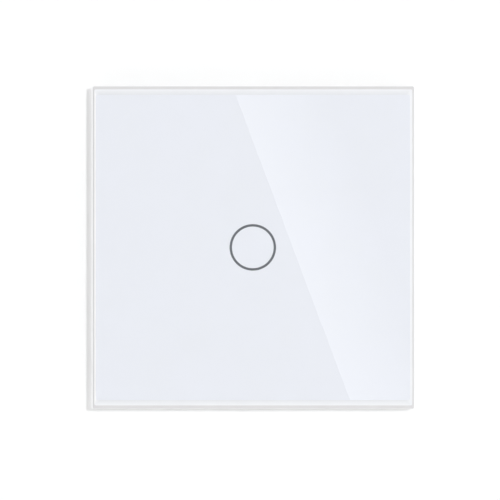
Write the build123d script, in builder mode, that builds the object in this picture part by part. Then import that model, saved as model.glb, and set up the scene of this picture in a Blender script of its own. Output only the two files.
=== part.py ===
from build123d import *
from math import cos, pi, radians, sin, sqrt
import os

# A one-gang touch wall switch: a square glass panel with a touch ring, on a wall unit that goes
# into a round wall box. Millimetres. X runs right as seen from the room, Z up and Y into the wall.
# The origin is the centre of the wall plane, on the axis of the wall box.

# Shared clearances and cuts
overrun = 1.0
slide_fit = 0.05
seat_gap = 0.1
moving_gap = 0.2

# Glass panel: its front face is panel_reach in front of the wall
panel_overhang = 1.5
panel_reach = 10.0
glass_thickness = 4.0
side_bevel = 1.1
end_bevel = 2.2
bevel_depth = 0.8
rear_arris = 0.3

# White print on the rear of the glass, with the ring left open for the smoke-grey window
print_thickness = 0.2
print_margin = 0.4
ring_radius = 5.475
ring_line = 0.6

# Bonding tape strips
tape_thickness = 0.5
tape_width = 8.0
tape_inset = 1.5
tape_gap = 0.5

# Panel holder: a plate behind the glass with a skirt that drops over the yoke
yoke_gap = 1.2
holder_radius = 1.5
holder_plate = 1.5
skirt_wall = 1.8
skirt_wall_gap = 0.3
window_gap = 2.4
window_radius = 2.0
nose_height = 0.9
nose_slope = 0.8
nose_length = 6.0
pry_width = 10.0
pry_depth = 1.2
brace_height = 0.3
brace_width = 1.2

# Mounting yoke: pressed steel with a raised centre and upturned lips
slot_edge = 2.2
yoke_radius = 3.0
yoke_thickness = 1.0
pad_rise = 0.8
pad_radius = 3.0
yoke_ledge = 5.0
yoke_hole_edge = 4.53
slot_length = 6.6
slot_width = 4.0
anchor_radius = 1.7
lip_length = 8.0
lip_height = 1.6
lip_spacing = 44.0

# Wall-box screws, metric 3.5, on the standard spacing of round wall boxes
box_screw_spacing = 60.0
box_screw_radius = 1.75
box_screw_neck = 1.5
box_screw_head = 3.4
box_head_height = 2.2
box_head_round = 0.9
box_screw_reach = 22.0
box_screw_tip = 0.8
neck_overlap = 0.4
drive_slot = 0.9
drive_depth = 1.1

# Back box: an octagon that passes into the wall box, deeper above its lower step
body_flat = 15.0
head_gap = 0.3
body_wall = 1.7
rear_room = 4.5
step_land = 5.3
body_chamfer = 1.5
pocket_gap = 0.3
case_boss_inset = 2.26
case_boss_radius = 2.4
case_boss_length = 11.0
board_boss_radius = 2.2
vent_width = 1.6
vent_length = 9.0
vent_spacing = 5.0
vent_count = 5
rear_vent_height = 1.0
plate_recess = 0.3
plate_width = 26.0
plate_height = 9.0
plate_place = 15.0

# Front cover: the lid over the boards, seen when the panel is off
cover_inset = 0.7
cover_radius = 3.0
cover_wall = 1.6
cover_plate = 1.5
cover_front_gap = 0.6
cover_chamfer = 0.4
cover_hole = 8.2
collar_wall = 1.2
collar_length = 0.9
cover_boss_radius = 2.7
post_radius = 2.2
post_gap = 1.3

# Case screws, metric 2.5
case_screw_radius = 1.25
case_hole_radius = 1.4
case_head_radius = 2.2
case_head_height = 1.2
case_screw_length = 9.0
head_recess_radius = 2.5
head_recess_depth = 1.4
case_drive_slot = 0.6
case_drive_depth = 0.6

# Circuit boards and their screws, metric 2
board_gap = 1.3
boss_gap = 0.3
touch_front = 0.4
touch_thickness = 1.2
power_thickness = 1.6
power_rear = 8.2
board_screw_radius = 1.0
board_hole_radius = 1.1
board_head_radius = 1.9
board_head_height = 1.2
board_screw_length = 4.5
board_post_inset = 2.4
power_post_height = -4.0

# Sensing spring and light guide, behind the ring
spring_radius = 7.0
spring_wire = 0.35
spring_turns = 3.5
spring_front_gap = 0.15
guide_outer = 6.0
guide_inner = 5.0
guide_front_gap = 0.3
guide_chamfer = 0.3

# Indicator lamps, touch chip and small surface parts
lamp_length = 3.0
lamp_width = 1.5
lamp_height = 0.8
lamp_spacing = 4.4
chip_length = 4.9
chip_width = 3.9
chip_height = 1.3
chip_lift = 0.15
lead_spacing = 1.27
lead_width = 0.4
lead_reach = 1.0
lead_thickness = 0.25
lead_count = 4
resistor_length = 2.0
resistor_width = 1.25
resistor_height = 0.5

# Board-to-board connector
pin_spacing = 2.54
pin_count = 5
pin_side = 0.64
pin_reach = 0.5
pin_hole_radius = 0.55
header_depth = 2.5
header_thickness = 2.5
link_inset = 5.5

# Terminal block: three rising-cage screw terminals, wires from below, screws to the rear
pole_spacing = 8.5
pole_count = 3
block_side_wall = 1.3
block_chamfer = 0.4
entry_wall = 2.6
entry_radius = 1.8
funnel_radius = 2.4
funnel_angle = 90
back_wall = 2.0
block_fit = 0.15
cage_width = 5.6
cage_length = 5.0
cage_wall = 0.8
cage_nut = 1.4
cage_side_gap = 0.3
cage_lift_gap = 0.3
wire_space = 3.6
cage_travel = 2.0
seat_wall = 0.8
terminal_radius = 1.5
terminal_head_radius = 2.1
terminal_head_height = 1.6
head_sink = 1.0
terminal_slot = 0.7
terminal_slot_depth = 0.8
head_pocket_gap = 0.2
tongue_width = 3.6
tongue_thickness = 0.8

# Relay: coil and frame on the left, contacts on the right, under one case
relay_wall = 0.6
relay_base_height = 1.8
relay_place_share = 0.664
frame_thickness = 1.0
frame_width = 7.0
frame_inset = 0.9
frame_gap = 0.15
coil_centre = 3.2
flange_side = 8.2
flange_gap = 0.5
flange_thickness = 0.6
flange_spread = 5.6
barrel_radius = 2.6
core_radius = 1.85
winding_radius = 3.9
pole_radius = 2.9
pole_thickness = 0.6
pole_gap = 0.55
pivot_gap = 0.15
armature_length = 12.4
blade_thickness = 0.3
blade_width = 4.0
blade_room = 0.95
contact_radius = 1.1
contact_height = 0.75
contact_gap = 1.0
contact_inset = 1.7
contact_strip = 0.5
contact_foot = 2.0

# Other mains parts on the power board; their places are shares of the board's half width
film_length = 17.0
film_width = 5.5
film_height = 11.0
film_round = 0.8
film_place_shares = (-0.5, 0.2)
can_radius = 4.0
can_height = 11.5
can_round = 0.6
can_place_shares = (0.2, 0.165)
choke_radius = 3.2
choke_height = 7.0
choke_flange = 1.0
choke_waist = 1.7
choke_winding_radius = 2.8
choke_place_shares = (0.6, 0.19)
varistor_radius = 4.2
varistor_thickness = 3.4
varistor_round = 0.7
varistor_place_shares = (-0.34, -0.24)
fuse_radius = 1.6
fuse_length = 7.4
fuse_lead = 0.35
fuse_lead_reach = 1.2
fuse_place_shares = (0.1, -0.25)
bridge_length = 6.4
bridge_width = 4.8
bridge_height = 2.6
bridge_place_shares = (0.58, -0.2)
regulator_radius = 2.2
regulator_height = 4.6
regulator_flat = 1.2
regulator_lift = 1.5
regulator_leg = 0.5
regulator_spacing = 1.27
regulator_legs = 3
regulator_place_shares = (-0.64, -0.32)

# Depths along Y worked out from the sizes above; the room side is negative
glass_front = -panel_reach
glass_rear = glass_front + glass_thickness
print_rear = glass_rear + print_thickness
tape_rear = print_rear + tape_thickness
holder_plate_rear = tape_rear + holder_plate
holder_edge = -skirt_wall_gap
rim = -pad_rise
pad_front = -yoke_thickness - pad_rise
cover_rear = pad_front
cover_front = print_rear + cover_front_gap
cover_inside = cover_front + cover_plate
touch_rear = touch_front + touch_thickness
power_front = power_rear - power_thickness
cage_front = power_rear + cage_lift_gap
wire_axis = cage_front + cage_wall + wire_space / 2
tongue_front = cage_front + cage_wall + wire_space
tongue_rear = tongue_front + tongue_thickness
nut_front = tongue_rear + seat_gap
cage_rear = nut_front + cage_nut
chamber_rear = cage_rear + cage_travel + moving_gap
screw_seat = chamber_rear + seat_wall
step_rear = screw_seat + terminal_head_height + head_sink
block_depth = step_rear - power_rear
coil_length = flange_spread + 2 * flange_thickness
relay_stack = coil_length + pole_thickness + pole_gap + 2 * frame_thickness + blade_thickness
relay_height = relay_base_height + relay_stack + blade_room + relay_wall
body_depth = power_rear + relay_height + rear_room + body_wall

# Outlines across the depth: the yoke and the back box follow the wall-box screws
yoke_side = box_screw_spacing + slot_length + 2 * slot_edge
holder_side = yoke_side + 2 * (yoke_gap + skirt_wall)
panel_side = holder_side + 2 * panel_overhang
body_half = box_screw_spacing / 2 - box_screw_head - head_gap - yoke_thickness - pocket_gap
body_corner = body_half - body_flat
case_place = body_half - body_corner / 2 - (body_wall + case_boss_inset) / sqrt(2)
pocket_side = 2 * (body_half + pocket_gap)
pad_side = pocket_side + 2 * yoke_thickness
cover_side = pad_side - 2 * cover_inset
skirt_inner = holder_side - 2 * skirt_wall
holder_window = cover_side + 2 * window_gap
yoke_window = 2 * (body_half - yoke_ledge)
yoke_window_corner = yoke_window - 2 * case_place + sqrt(2) * yoke_hole_edge
post_place = yoke_window / 2 - post_radius - post_gap
board_half = body_half - body_wall - board_gap
board_corner = 2 * (board_half - case_place) + sqrt(2) * (case_boss_radius + boss_gap)
power_post_place = board_half - board_post_inset
link_height = board_half - link_inset
ring_inner = ring_radius - ring_line / 2
ring_outer = ring_radius + ring_line / 2
block_bottom = -body_half
chamber_length = cage_length + 2 * cage_side_gap
chamber_width = cage_width + 2 * cage_side_gap
chamber_bottom = block_bottom + entry_wall
chamber_top = chamber_bottom + chamber_length
block_top = chamber_top + back_wall
step_height = block_top + step_land
block_half = pole_spacing * (pole_count - 1) / 2 + chamber_width / 2 + block_side_wall
pole_places = [pole_spacing * (pole - (pole_count - 1) / 2) for pole in range(pole_count)]
relay_width = flange_side + 2 * (flange_gap + relay_wall)
frame_outer = coil_centre + flange_side / 2 + frame_gap + frame_thickness
inner_length = 2 * (frame_outer + frame_inset)
relay_length = inner_length + 2 * (slide_fit + relay_wall)
relay_centre = relay_place_share * board_half
quarter_turns = (0, 90, 180, 270)

os.makedirs("parts", exist_ok=True)


def at(depth):
    """The plane parallel to the wall at a depth; sketch x is X, sketch y is Z, out is the room."""
    return Plane.XZ.offset(-depth)


def facing_side(turn, along):
    """A plane square to one side of the outline; x runs outwards and y runs into the wall."""
    outwards = Vector(cos(radians(turn)), 0, sin(radians(turn)))
    along_side = Vector(-sin(radians(turn)), 0, cos(radians(turn)))
    return Plane(origin=along_side * along, x_dir=outwards, z_dir=along_side)


def octagon(half, corner, mode=Mode.ADD):
    """A square with cut corners; half is centre to flat, corner is cut from each end of a flat."""
    flat = half - corner
    points = [(half, flat), (flat, half), (-flat, half), (-half, flat)]
    points += [(-x, -y) for x, y in points]
    Polygon(*points, mode=mode)


def body_outline(inset, mode=Mode.ADD):
    """The back box outline moved inwards by an inset, with all its walls kept parallel."""
    octagon(body_half - inset, body_corner - (2 - sqrt(2)) * inset, mode)


def board_place(shares):
    """A place on the boards from its shares of the board's half width."""
    return (shares[0] * board_half, shares[1] * board_half)


# Glass panel: a square plate whose front edges are ground back, wider at top and bottom
with BuildPart() as glass_panel:
    with BuildSketch(at(glass_rear)):
        Rectangle(panel_side, panel_side)
    extrude(amount=glass_thickness - bevel_depth)
    with BuildSketch(at(glass_front + bevel_depth)):
        Rectangle(panel_side, panel_side)
    with BuildSketch(at(glass_front)):
        Rectangle(panel_side - 2 * side_bevel, panel_side - 2 * end_bevel)
    loft()
    chamfer(glass_panel.faces().sort_by(Axis.Y)[-1].edges(), rear_arris)
glass_panel.part.label = "glass_panel"
export_step(glass_panel.part, "parts/glass_panel.step")

# White print: a field with a round opening and a disc inside it
with BuildPart() as back_print:
    with BuildSketch(at(print_rear)):
        Rectangle(panel_side - 2 * print_margin, panel_side - 2 * print_margin)
        Circle(ring_outer, mode=Mode.SUBTRACT)
        Circle(ring_inner)
    extrude(amount=print_thickness)
back_print.part.label = "back_print"
export_step(back_print.part, "parts/back_print.step")

# Smoke-grey ring between the field and the disc
with BuildPart() as ring_window:
    with BuildSketch(at(print_rear)):
        Circle(ring_outer)
        Circle(ring_inner, mode=Mode.SUBTRACT)
    extrude(amount=print_thickness)
ring_window.part.label = "ring_window"
export_step(ring_window.part, "parts/ring_window.step")

# Bonding tape: two long strips above and below, two short ones between them
tape_outer = holder_side - 2 * tape_inset
tape_centre = (tape_outer - tape_width) / 2
with BuildPart() as bonding_tape:
    with BuildSketch(at(tape_rear)):
        with Locations((0, tape_centre), (0, -tape_centre)):
            Rectangle(tape_outer, tape_width)
        with Locations((tape_centre, 0), (-tape_centre, 0)):
            Rectangle(tape_width, tape_outer - 2 * tape_width - 2 * tape_gap)
    extrude(amount=tape_thickness)
bonding_tape.part.label = "bonding_tape"
export_step(bonding_tape.part, "parts/bonding_tape.step")

# Panel holder: plate, window, skirt, snap noses that clear the yoke's lips, and a pry notch
with BuildPart() as panel_holder:
    with BuildSketch(at(holder_edge)):
        RectangleRounded(holder_side, holder_side, holder_radius)
    extrude(amount=holder_edge - tape_rear)
    with BuildSketch(at(holder_edge)):
        RectangleRounded(skirt_inner, skirt_inner, holder_radius)
    extrude(amount=holder_edge - holder_plate_rear, mode=Mode.SUBTRACT)
    with BuildSketch(at(holder_plate_rear + brace_height)):
        RectangleRounded(holder_window + 2 * brace_width, holder_window + 2 * brace_width, window_radius)
    extrude(amount=brace_height)
    with BuildSketch(at(holder_plate_rear + brace_height + overrun)):
        RectangleRounded(holder_window, holder_window, window_radius)
    extrude(amount=holder_plate + brace_height + 2 * overrun, mode=Mode.SUBTRACT)
    nose_root = skirt_inner / 2
    nose_middle = -yoke_thickness - lip_height / 2
    for turn in quarter_turns:
        for nose_place in (-lip_spacing / 2, lip_spacing / 2):
            with BuildSketch(facing_side(turn, nose_place)):
                Polygon(
                    (nose_root, nose_middle - nose_slope),
                    (nose_root, nose_middle + nose_slope),
                    (nose_root - nose_height, nose_middle),
                )
            extrude(amount=nose_length / 2, both=True)
    with BuildSketch(at(holder_edge)):
        with Locations((0, -(holder_side - skirt_wall) / 2)):
            Rectangle(pry_width, 2 * skirt_wall)
    extrude(amount=pry_depth, mode=Mode.SUBTRACT)
panel_holder.part.label = "panel_holder"
export_step(panel_holder.part, "parts/panel_holder.step")

# Mounting yoke: flat rim on the wall, raised centre over the back box, slots on four sides
lip_place = (yoke_side - yoke_thickness) / 2
lip_offset = lip_spacing / 2
slot_place = box_screw_spacing / 2
with BuildPart() as mounting_yoke:
    with BuildSketch(at(0)):
        RectangleRounded(yoke_side, yoke_side, yoke_radius)
    extrude(amount=yoke_thickness)
    with BuildSketch(at(-yoke_thickness)):
        RectangleRounded(pad_side, pad_side, pad_radius)
        with Locations((lip_place, lip_offset), (lip_place, -lip_offset)):
            Rectangle(yoke_thickness, lip_length)
        with Locations((-lip_place, lip_offset), (-lip_place, -lip_offset)):
            Rectangle(yoke_thickness, lip_length)
        with Locations((lip_offset, lip_place), (-lip_offset, lip_place)):
            Rectangle(lip_length, yoke_thickness)
        with Locations((lip_offset, -lip_place), (-lip_offset, -lip_place)):
            Rectangle(lip_length, yoke_thickness)
    extrude(amount=lip_height)
    with BuildSketch(at(pad_front)):
        Rectangle(pad_side, pad_side)
    extrude(amount=lip_height, mode=Mode.SUBTRACT)
    with BuildSketch(at(0)):
        RectangleRounded(pocket_side, pocket_side, pad_radius - yoke_thickness)
    extrude(amount=pad_rise, mode=Mode.SUBTRACT)
    with BuildSketch(at(overrun)):
        octagon(yoke_window / 2, yoke_window_corner)
        with GridLocations(2 * case_place, 2 * case_place, 2, 2):
            Circle(case_hole_radius)
        with GridLocations(box_screw_spacing, box_screw_spacing, 2, 2):
            Circle(anchor_radius)
        with PolarLocations(slot_place, len(quarter_turns)):
            SlotOverall(slot_length, slot_width)
    extrude(amount=yoke_thickness + pad_rise + 2 * overrun, mode=Mode.SUBTRACT)
mounting_yoke.part.label = "mounting_yoke"
export_step(mounting_yoke.part, "parts/mounting_yoke.step")

# Wall-box screws: domed head before the slot, plain neck inside it, thread behind it
with BuildPart() as box_screws:
    with BuildSketch(at(-yoke_thickness)):
        with Locations((slot_place, 0), (-slot_place, 0)):
            Circle(box_screw_head)
    extrude(amount=box_head_height)
    fillet(box_screws.edges().group_by(Axis.Y)[0], box_head_round)
    with BuildSketch(at(neck_overlap)):
        with Locations((slot_place, 0), (-slot_place, 0)):
            Circle(box_screw_neck)
    extrude(amount=neck_overlap + yoke_thickness)
    with BuildSketch(at(box_screw_reach)):
        with Locations((slot_place, 0), (-slot_place, 0)):
            Circle(box_screw_radius)
    extrude(amount=box_screw_reach - neck_overlap)
    chamfer(box_screws.edges().group_by(Axis.Y)[-1], box_screw_tip)
    with BuildSketch(at(-yoke_thickness - box_head_height + drive_depth)):
        with Locations((slot_place, 0), (-slot_place, 0)):
            Rectangle(2 * box_screw_head + overrun, drive_slot)
            Rectangle(drive_slot, box_screw_head)
    extrude(amount=drive_depth + overrun, mode=Mode.SUBTRACT)
box_screws.part.label = "box_screws"
export_step(box_screws.part, "parts/box_screws.step")

# Front cover: shallow lid with a collared hole for the spring, screw bosses and two board posts
with BuildPart() as front_cover:
    with BuildSketch(at(cover_rear)):
        RectangleRounded(cover_side, cover_side, cover_radius)
    extrude(amount=cover_rear - cover_front)
    chamfer(front_cover.faces().sort_by(Axis.Y)[0].edges(), cover_chamfer)
    with BuildSketch(at(cover_rear)):
        cover_cavity = cover_side - 2 * cover_wall
        RectangleRounded(cover_cavity, cover_cavity, cover_radius - cover_wall)
    extrude(amount=cover_rear - cover_inside, mode=Mode.SUBTRACT)
    with BuildSketch(at(cover_rear)):
        with GridLocations(2 * case_place, 2 * case_place, 2, 2):
            Circle(cover_boss_radius)
    extrude(amount=cover_rear - cover_inside)
    with BuildSketch(at(touch_front)):
        with Locations((post_place, 0), (-post_place, 0)):
            Circle(post_radius)
    extrude(amount=touch_front - cover_inside)
    with BuildSketch(at(cover_inside + collar_length)):
        Circle(cover_hole + collar_wall)
    extrude(amount=collar_length)
    with BuildSketch(at(cover_inside + collar_length)):
        Circle(cover_hole)
    extrude(amount=collar_length + cover_plate, mode=Mode.SUBTRACT)
    with BuildSketch(at(touch_front)):
        with Locations((post_place, 0), (-post_place, 0)):
            Circle(board_screw_radius + slide_fit)
    extrude(amount=board_screw_length, mode=Mode.SUBTRACT)
    with Locations(at(cover_front)):
        with GridLocations(2 * case_place, 2 * case_place, 2, 2):
            CounterBoreHole(case_hole_radius, head_recess_radius, head_recess_depth)
front_cover.part.label = "front_cover"
export_step(front_cover.part, "parts/front_cover.step")

# Case screws: pan heads in the cover's recesses, shanks down into the back box bosses
case_seat = cover_front + head_recess_depth
with BuildPart() as case_screws:
    with BuildSketch(at(case_seat)):
        with GridLocations(2 * case_place, 2 * case_place, 2, 2):
            Circle(case_head_radius)
    extrude(amount=case_head_height)
    with BuildSketch(at(case_seat + case_screw_length)):
        with GridLocations(2 * case_place, 2 * case_place, 2, 2):
            Circle(case_screw_radius)
    extrude(amount=case_screw_length)
    with BuildSketch(at(case_seat - case_head_height + case_drive_depth)):
        with GridLocations(2 * case_place, 2 * case_place, 2, 2):
            Rectangle(case_head_radius + case_drive_slot, case_drive_slot)
            Rectangle(case_drive_slot, case_head_radius + case_drive_slot)
    extrude(amount=case_drive_depth + overrun, mode=Mode.SUBTRACT)
case_screws.part.label = "case_screws"
export_step(case_screws.part, "parts/case_screws.step")

# Back box: stepped octagonal tub with screw bosses, board bosses, vents and the terminal opening
upper_depth = body_depth - body_wall
with BuildPart() as back_box:
    with BuildSketch(at(step_rear)):
        body_outline(0)
    extrude(amount=step_rear - rim)
    with BuildSketch(at(body_depth)):
        body_outline(0)
        with Locations((0, step_height + body_half)):
            Rectangle(2 * body_half, 2 * body_half, mode=Mode.INTERSECT)
    extrude(amount=body_depth - step_rear)
    chamfer(back_box.faces().sort_by(Axis.Y)[-1].edges(), body_chamfer)
    step_face = back_box.faces().filter_by(Axis.Y).filter_by_position(
        Axis.Y, step_rear - slide_fit, step_rear + slide_fit)[0]
    chamfer(step_face.edges().sort_by(Axis.Z)[:-1], body_chamfer)
    with BuildSketch(at(step_rear - body_wall)):
        body_outline(body_wall)
    extrude(amount=step_rear - body_wall - rim, mode=Mode.SUBTRACT)
    with BuildSketch(at(upper_depth)):
        body_outline(body_wall)
        with Locations((0, step_height + body_wall + body_half)):
            Rectangle(2 * body_half, 2 * body_half, mode=Mode.INTERSECT)
    extrude(amount=body_depth - step_rear + overrun, mode=Mode.SUBTRACT)
    with BuildSketch(at(rim + case_boss_length)):
        with GridLocations(2 * case_place, 2 * case_place, 2, 2):
            Circle(case_boss_radius)
    extrude(amount=case_boss_length)
    with BuildSketch(at(upper_depth)):
        with Locations((power_post_place, power_post_height), (-power_post_place, power_post_height)):
            Circle(board_boss_radius)
    extrude(amount=upper_depth - power_rear)
    with BuildSketch(at(case_seat + case_screw_length)):
        with GridLocations(2 * case_place, 2 * case_place, 2, 2):
            Circle(case_screw_radius + slide_fit)
    extrude(amount=case_seat + case_screw_length - rim, mode=Mode.SUBTRACT)
    with BuildSketch(at(power_front + board_screw_length)):
        with Locations((power_post_place, power_post_height), (-power_post_place, power_post_height)):
            Circle(board_screw_radius + slide_fit)
    extrude(amount=board_screw_length - power_thickness, mode=Mode.SUBTRACT)
    with BuildSketch(at(step_rear + overrun)):
        opening_top = block_top + block_fit
        opening_bottom = block_bottom - overrun
        with Locations((0, (opening_top + opening_bottom) / 2)):
            Rectangle(2 * (block_half + block_fit), opening_top - opening_bottom)
    extrude(amount=block_depth + overrun, mode=Mode.SUBTRACT)
    with BuildSketch(at(body_depth)):
        with Locations((0, rear_vent_height)):
            with GridLocations(vent_spacing, 0, vent_count, 1):
                SlotOverall(vent_length, vent_width, rotation=90)
    extrude(amount=body_wall, mode=Mode.SUBTRACT)
    with BuildSketch(at(body_depth)):
        with Locations((0, plate_place)):
            Rectangle(plate_width, plate_height)
    extrude(amount=plate_recess, mode=Mode.SUBTRACT)
    with BuildSketch(Plane.XY.offset(body_half)):
        with Locations((0, (power_rear + step_rear) / 2)):
            with GridLocations(vent_spacing, 0, vent_count, 1):
                SlotOverall(vent_length, vent_width, rotation=90)
    extrude(amount=-body_wall, mode=Mode.SUBTRACT)
back_box.part.label = "back_box"
export_step(back_box.part, "parts/back_box.step")

# Touch board: the front circuit board, screwed to the cover's posts
link_places = [pin_spacing * (pin - (pin_count - 1) / 2) for pin in range(pin_count)]
with BuildPart() as touch_board:
    with BuildSketch(at(touch_rear)):
        octagon(board_half, board_corner)
        with Locations((post_place, 0), (-post_place, 0)):
            Circle(board_hole_radius, mode=Mode.SUBTRACT)
        with Locations(*[(place, -link_height) for place in link_places]):
            Circle(pin_hole_radius, mode=Mode.SUBTRACT)
    extrude(amount=touch_thickness)
touch_board.part.label = "touch_board"
export_step(touch_board.part, "parts/touch_board.step")

# Power board: the mains circuit board, screwed to the back box
with BuildPart() as power_board:
    with BuildSketch(at(power_rear)):
        octagon(board_half, board_corner)
        with Locations((power_post_place, power_post_height), (-power_post_place, power_post_height)):
            Circle(board_hole_radius, mode=Mode.SUBTRACT)
        with Locations(*[(place, -link_height) for place in link_places]):
            Circle(pin_hole_radius, mode=Mode.SUBTRACT)
    extrude(amount=power_thickness)
power_board.part.label = "power_board"
export_step(power_board.part, "parts/power_board.step")

# Board screws: two from behind the touch board, two from before the power board
with BuildPart() as board_screws:
    with BuildSketch(at(touch_rear + board_head_height)):
        with Locations((post_place, 0), (-post_place, 0)):
            Circle(board_head_radius)
    extrude(amount=board_head_height)
    with BuildSketch(at(touch_rear)):
        with Locations((post_place, 0), (-post_place, 0)):
            Circle(board_screw_radius)
    extrude(amount=board_screw_length)
    with BuildSketch(at(power_front)):
        with Locations((power_post_place, power_post_height), (-power_post_place, power_post_height)):
            Circle(board_head_radius)
    extrude(amount=board_head_height)
    with BuildSketch(at(power_front + board_screw_length)):
        with Locations((power_post_place, power_post_height), (-power_post_place, power_post_height)):
            Circle(board_screw_radius)
    extrude(amount=board_screw_length)
board_screws.part.label = "board_screws"
export_step(board_screws.part, "parts/board_screws.step")

# Sensing spring: a straight foot on the board, then an even coil up to the glass
spring_tip = print_rear + spring_front_gap + spring_wire
foot_length = 2 * spring_wire
coil_rear = touch_front - foot_length - 2 * spring_wire
coil_pitch = (coil_rear - spring_tip) / spring_turns


def coil_point(turns):
    """The middle of the wire after that many turns."""
    angle = 2 * pi * turns
    return Vector(spring_radius * cos(angle), coil_rear - coil_pitch * turns, spring_radius * sin(angle))


def coil_direction(turns):
    """The way the wire runs after that many turns."""
    angle = 2 * pi * turns
    climb = coil_pitch / (2 * pi)
    return Vector(-spring_radius * sin(angle), -climb, spring_radius * cos(angle)).normalized()


def double_arc(start, start_direction, end, end_direction):
    """Two arcs in a row from start to end, tangent to both directions and to each other."""
    chord = end - start
    both = start_direction + end_direction
    spread = 4 - both.dot(both)
    lean = 2 * chord.dot(both)
    reach = (sqrt(lean * lean + 4 * spread * chord.dot(chord)) - lean) / (2 * spread)
    first = start + start_direction * reach
    second = end - end_direction * reach
    middle = (first + second) * 0.5
    TangentArc(start, middle, tangent=start_direction)
    TangentArc(middle, end, tangent=second - first)


foot_start = Vector(spring_radius, touch_front, -foot_length)
foot_end = Vector(spring_radius, touch_front - foot_length, -foot_length)
quarter_count = round(4 * spring_turns)
with BuildPart() as touch_spring:
    with BuildLine() as spring_path:
        Line(foot_start, foot_end)
        double_arc(foot_end, Vector(0, -1, 0), coil_point(0), coil_direction(0))
        for quarter in range(quarter_count):
            start_turns = quarter / 4
            end_turns = (quarter + 1) / 4
            double_arc(
                coil_point(start_turns), coil_direction(start_turns),
                coil_point(end_turns), coil_direction(end_turns),
            )
    with BuildSketch(Plane(origin=foot_start, z_dir=(0, -1, 0))):
        Circle(spring_wire)
    sweep(path=spring_path.line)
touch_spring.part.label = "touch_spring"
export_step(touch_spring.part, "parts/touch_spring.step")

coil_samples = [step / 36 for step in range(round(36 * spring_turns) + 1)]
coil_gap = min(
    (coil_point(one) - coil_point(other)).length - 2 * spring_wire
    for one in coil_samples for other in coil_samples if other - one > 1 / 2
)
print(f"least gap between the spring's turns: {coil_gap:.2f} mm")

# Light guide: a clear tube that stands on the board inside the spring
with BuildPart() as light_guide:
    with BuildSketch(at(touch_front)):
        Circle(guide_outer)
        Circle(guide_inner, mode=Mode.SUBTRACT)
    extrude(amount=touch_front - print_rear - guide_front_gap)
    chamfer(light_guide.faces().sort_by(Axis.Y)[0].inner_wires().edges(), guide_chamfer)
light_guide.part.label = "light_guide"
export_step(light_guide.part, "parts/light_guide.step")

# Indicator lamps: two small lamps on the board inside the guide
with BuildPart() as indicator_leds:
    with BuildSketch(at(touch_front)):
        with GridLocations(0, lamp_spacing, 1, 2):
            Rectangle(lamp_length, lamp_width)
    extrude(amount=lamp_height)
indicator_leds.part.label = "indicator_leds"
export_step(indicator_leds.part, "parts/indicator_leds.step")

# Touch chip and its leads, on the front of the touch board
chip_place_shares = (0.52, 0.36)
chip_place = board_place(chip_place_shares)
with BuildPart() as touch_chip:
    with BuildSketch(at(touch_front - chip_lift)):
        with Locations(chip_place):
            Rectangle(chip_length, chip_width)
    extrude(amount=chip_height)
touch_chip.part.label = "touch_chip"
export_step(touch_chip.part, "parts/touch_chip.step")

with BuildPart() as chip_leads:
    with BuildSketch(at(touch_front)):
        with Locations(chip_place):
            with GridLocations(lead_spacing, chip_width + lead_reach, lead_count, 2):
                Rectangle(lead_width, lead_reach)
    extrude(amount=chip_lift + lead_thickness)
chip_leads.part.label = "chip_leads"
export_step(chip_leads.part, "parts/chip_leads.step")

# Small surface parts: two groups of chip resistors and capacitors beside the spring
surface_shares = [(-0.52, 0.3), (-0.52, 0.42), (-0.52, 0.54), (-0.4, -0.36), (-0.4, -0.48), (0.5, -0.4)]
with BuildPart() as surface_parts:
    with BuildSketch(at(touch_front)):
        with Locations(*[board_place(shares) for shares in surface_shares]):
            Rectangle(resistor_length, resistor_width)
    extrude(amount=resistor_height)
surface_parts.part.label = "surface_parts"
export_step(surface_parts.part, "parts/surface_parts.step")

# Link header: the plastic strip on the rear of the touch board that holds the link pins
with BuildPart() as link_header:
    with BuildSketch(at(touch_rear + header_thickness)):
        with Locations((0, -link_height)):
            Rectangle(pin_spacing * pin_count, header_depth)
        with Locations(*[(place, -link_height) for place in link_places]):
            Rectangle(pin_side + 2 * slide_fit, pin_side + 2 * slide_fit, mode=Mode.SUBTRACT)
    extrude(amount=header_thickness)
link_header.part.label = "link_header"
export_step(link_header.part, "parts/link_header.step")

# Link pins: square pins through both boards
with BuildPart() as link_pins:
    with BuildSketch(at(power_rear)):
        with Locations(*[(place, -link_height) for place in link_places]):
            Rectangle(pin_side, pin_side)
    extrude(amount=power_rear - touch_front + pin_reach)
link_pins.part.label = "link_pins"
export_step(link_pins.part, "parts/link_pins.step")

# Terminal block: one chamber to a pole, open to the board, with a wire entry from below
with BuildPart() as terminal_block:
    with BuildSketch(at(step_rear)):
        with Locations((0, (block_top + block_bottom) / 2)):
            Rectangle(2 * block_half, block_top - block_bottom)
    extrude(amount=block_depth)
    chamfer(terminal_block.faces().sort_by(Axis.Y)[-1].edges(), block_chamfer)
    for place in pole_places:
        with BuildSketch(at(chamber_rear)):
            with Locations((place, (chamber_bottom + chamber_top) / 2)):
                Rectangle(chamber_width, chamber_length)
        extrude(amount=chamber_rear - power_rear, mode=Mode.SUBTRACT)
        with BuildSketch(at(step_rear)):
            with Locations((place, (chamber_bottom + chamber_top) / 2)):
                Circle(terminal_head_radius + head_pocket_gap)
        extrude(amount=step_rear - screw_seat, mode=Mode.SUBTRACT)
        with BuildSketch(at(screw_seat)):
            with Locations((place, (chamber_bottom + chamber_top) / 2)):
                Circle(terminal_radius + moving_gap)
        extrude(amount=seat_wall, mode=Mode.SUBTRACT)
        with Locations(Plane(origin=(place, wire_axis, block_bottom), z_dir=(0, 0, -1))):
            CounterSinkHole(entry_radius, funnel_radius, entry_wall, funnel_angle)
        with BuildSketch(at(tongue_rear + slide_fit)):
            with Locations((place, chamber_top + back_wall / 2)):
                Rectangle(tongue_width + 2 * slide_fit, back_wall)
        extrude(amount=tongue_thickness + 2 * slide_fit, mode=Mode.SUBTRACT)
terminal_block.part.label = "terminal_block"
export_step(terminal_block.part, "parts/terminal_block.step")

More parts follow.
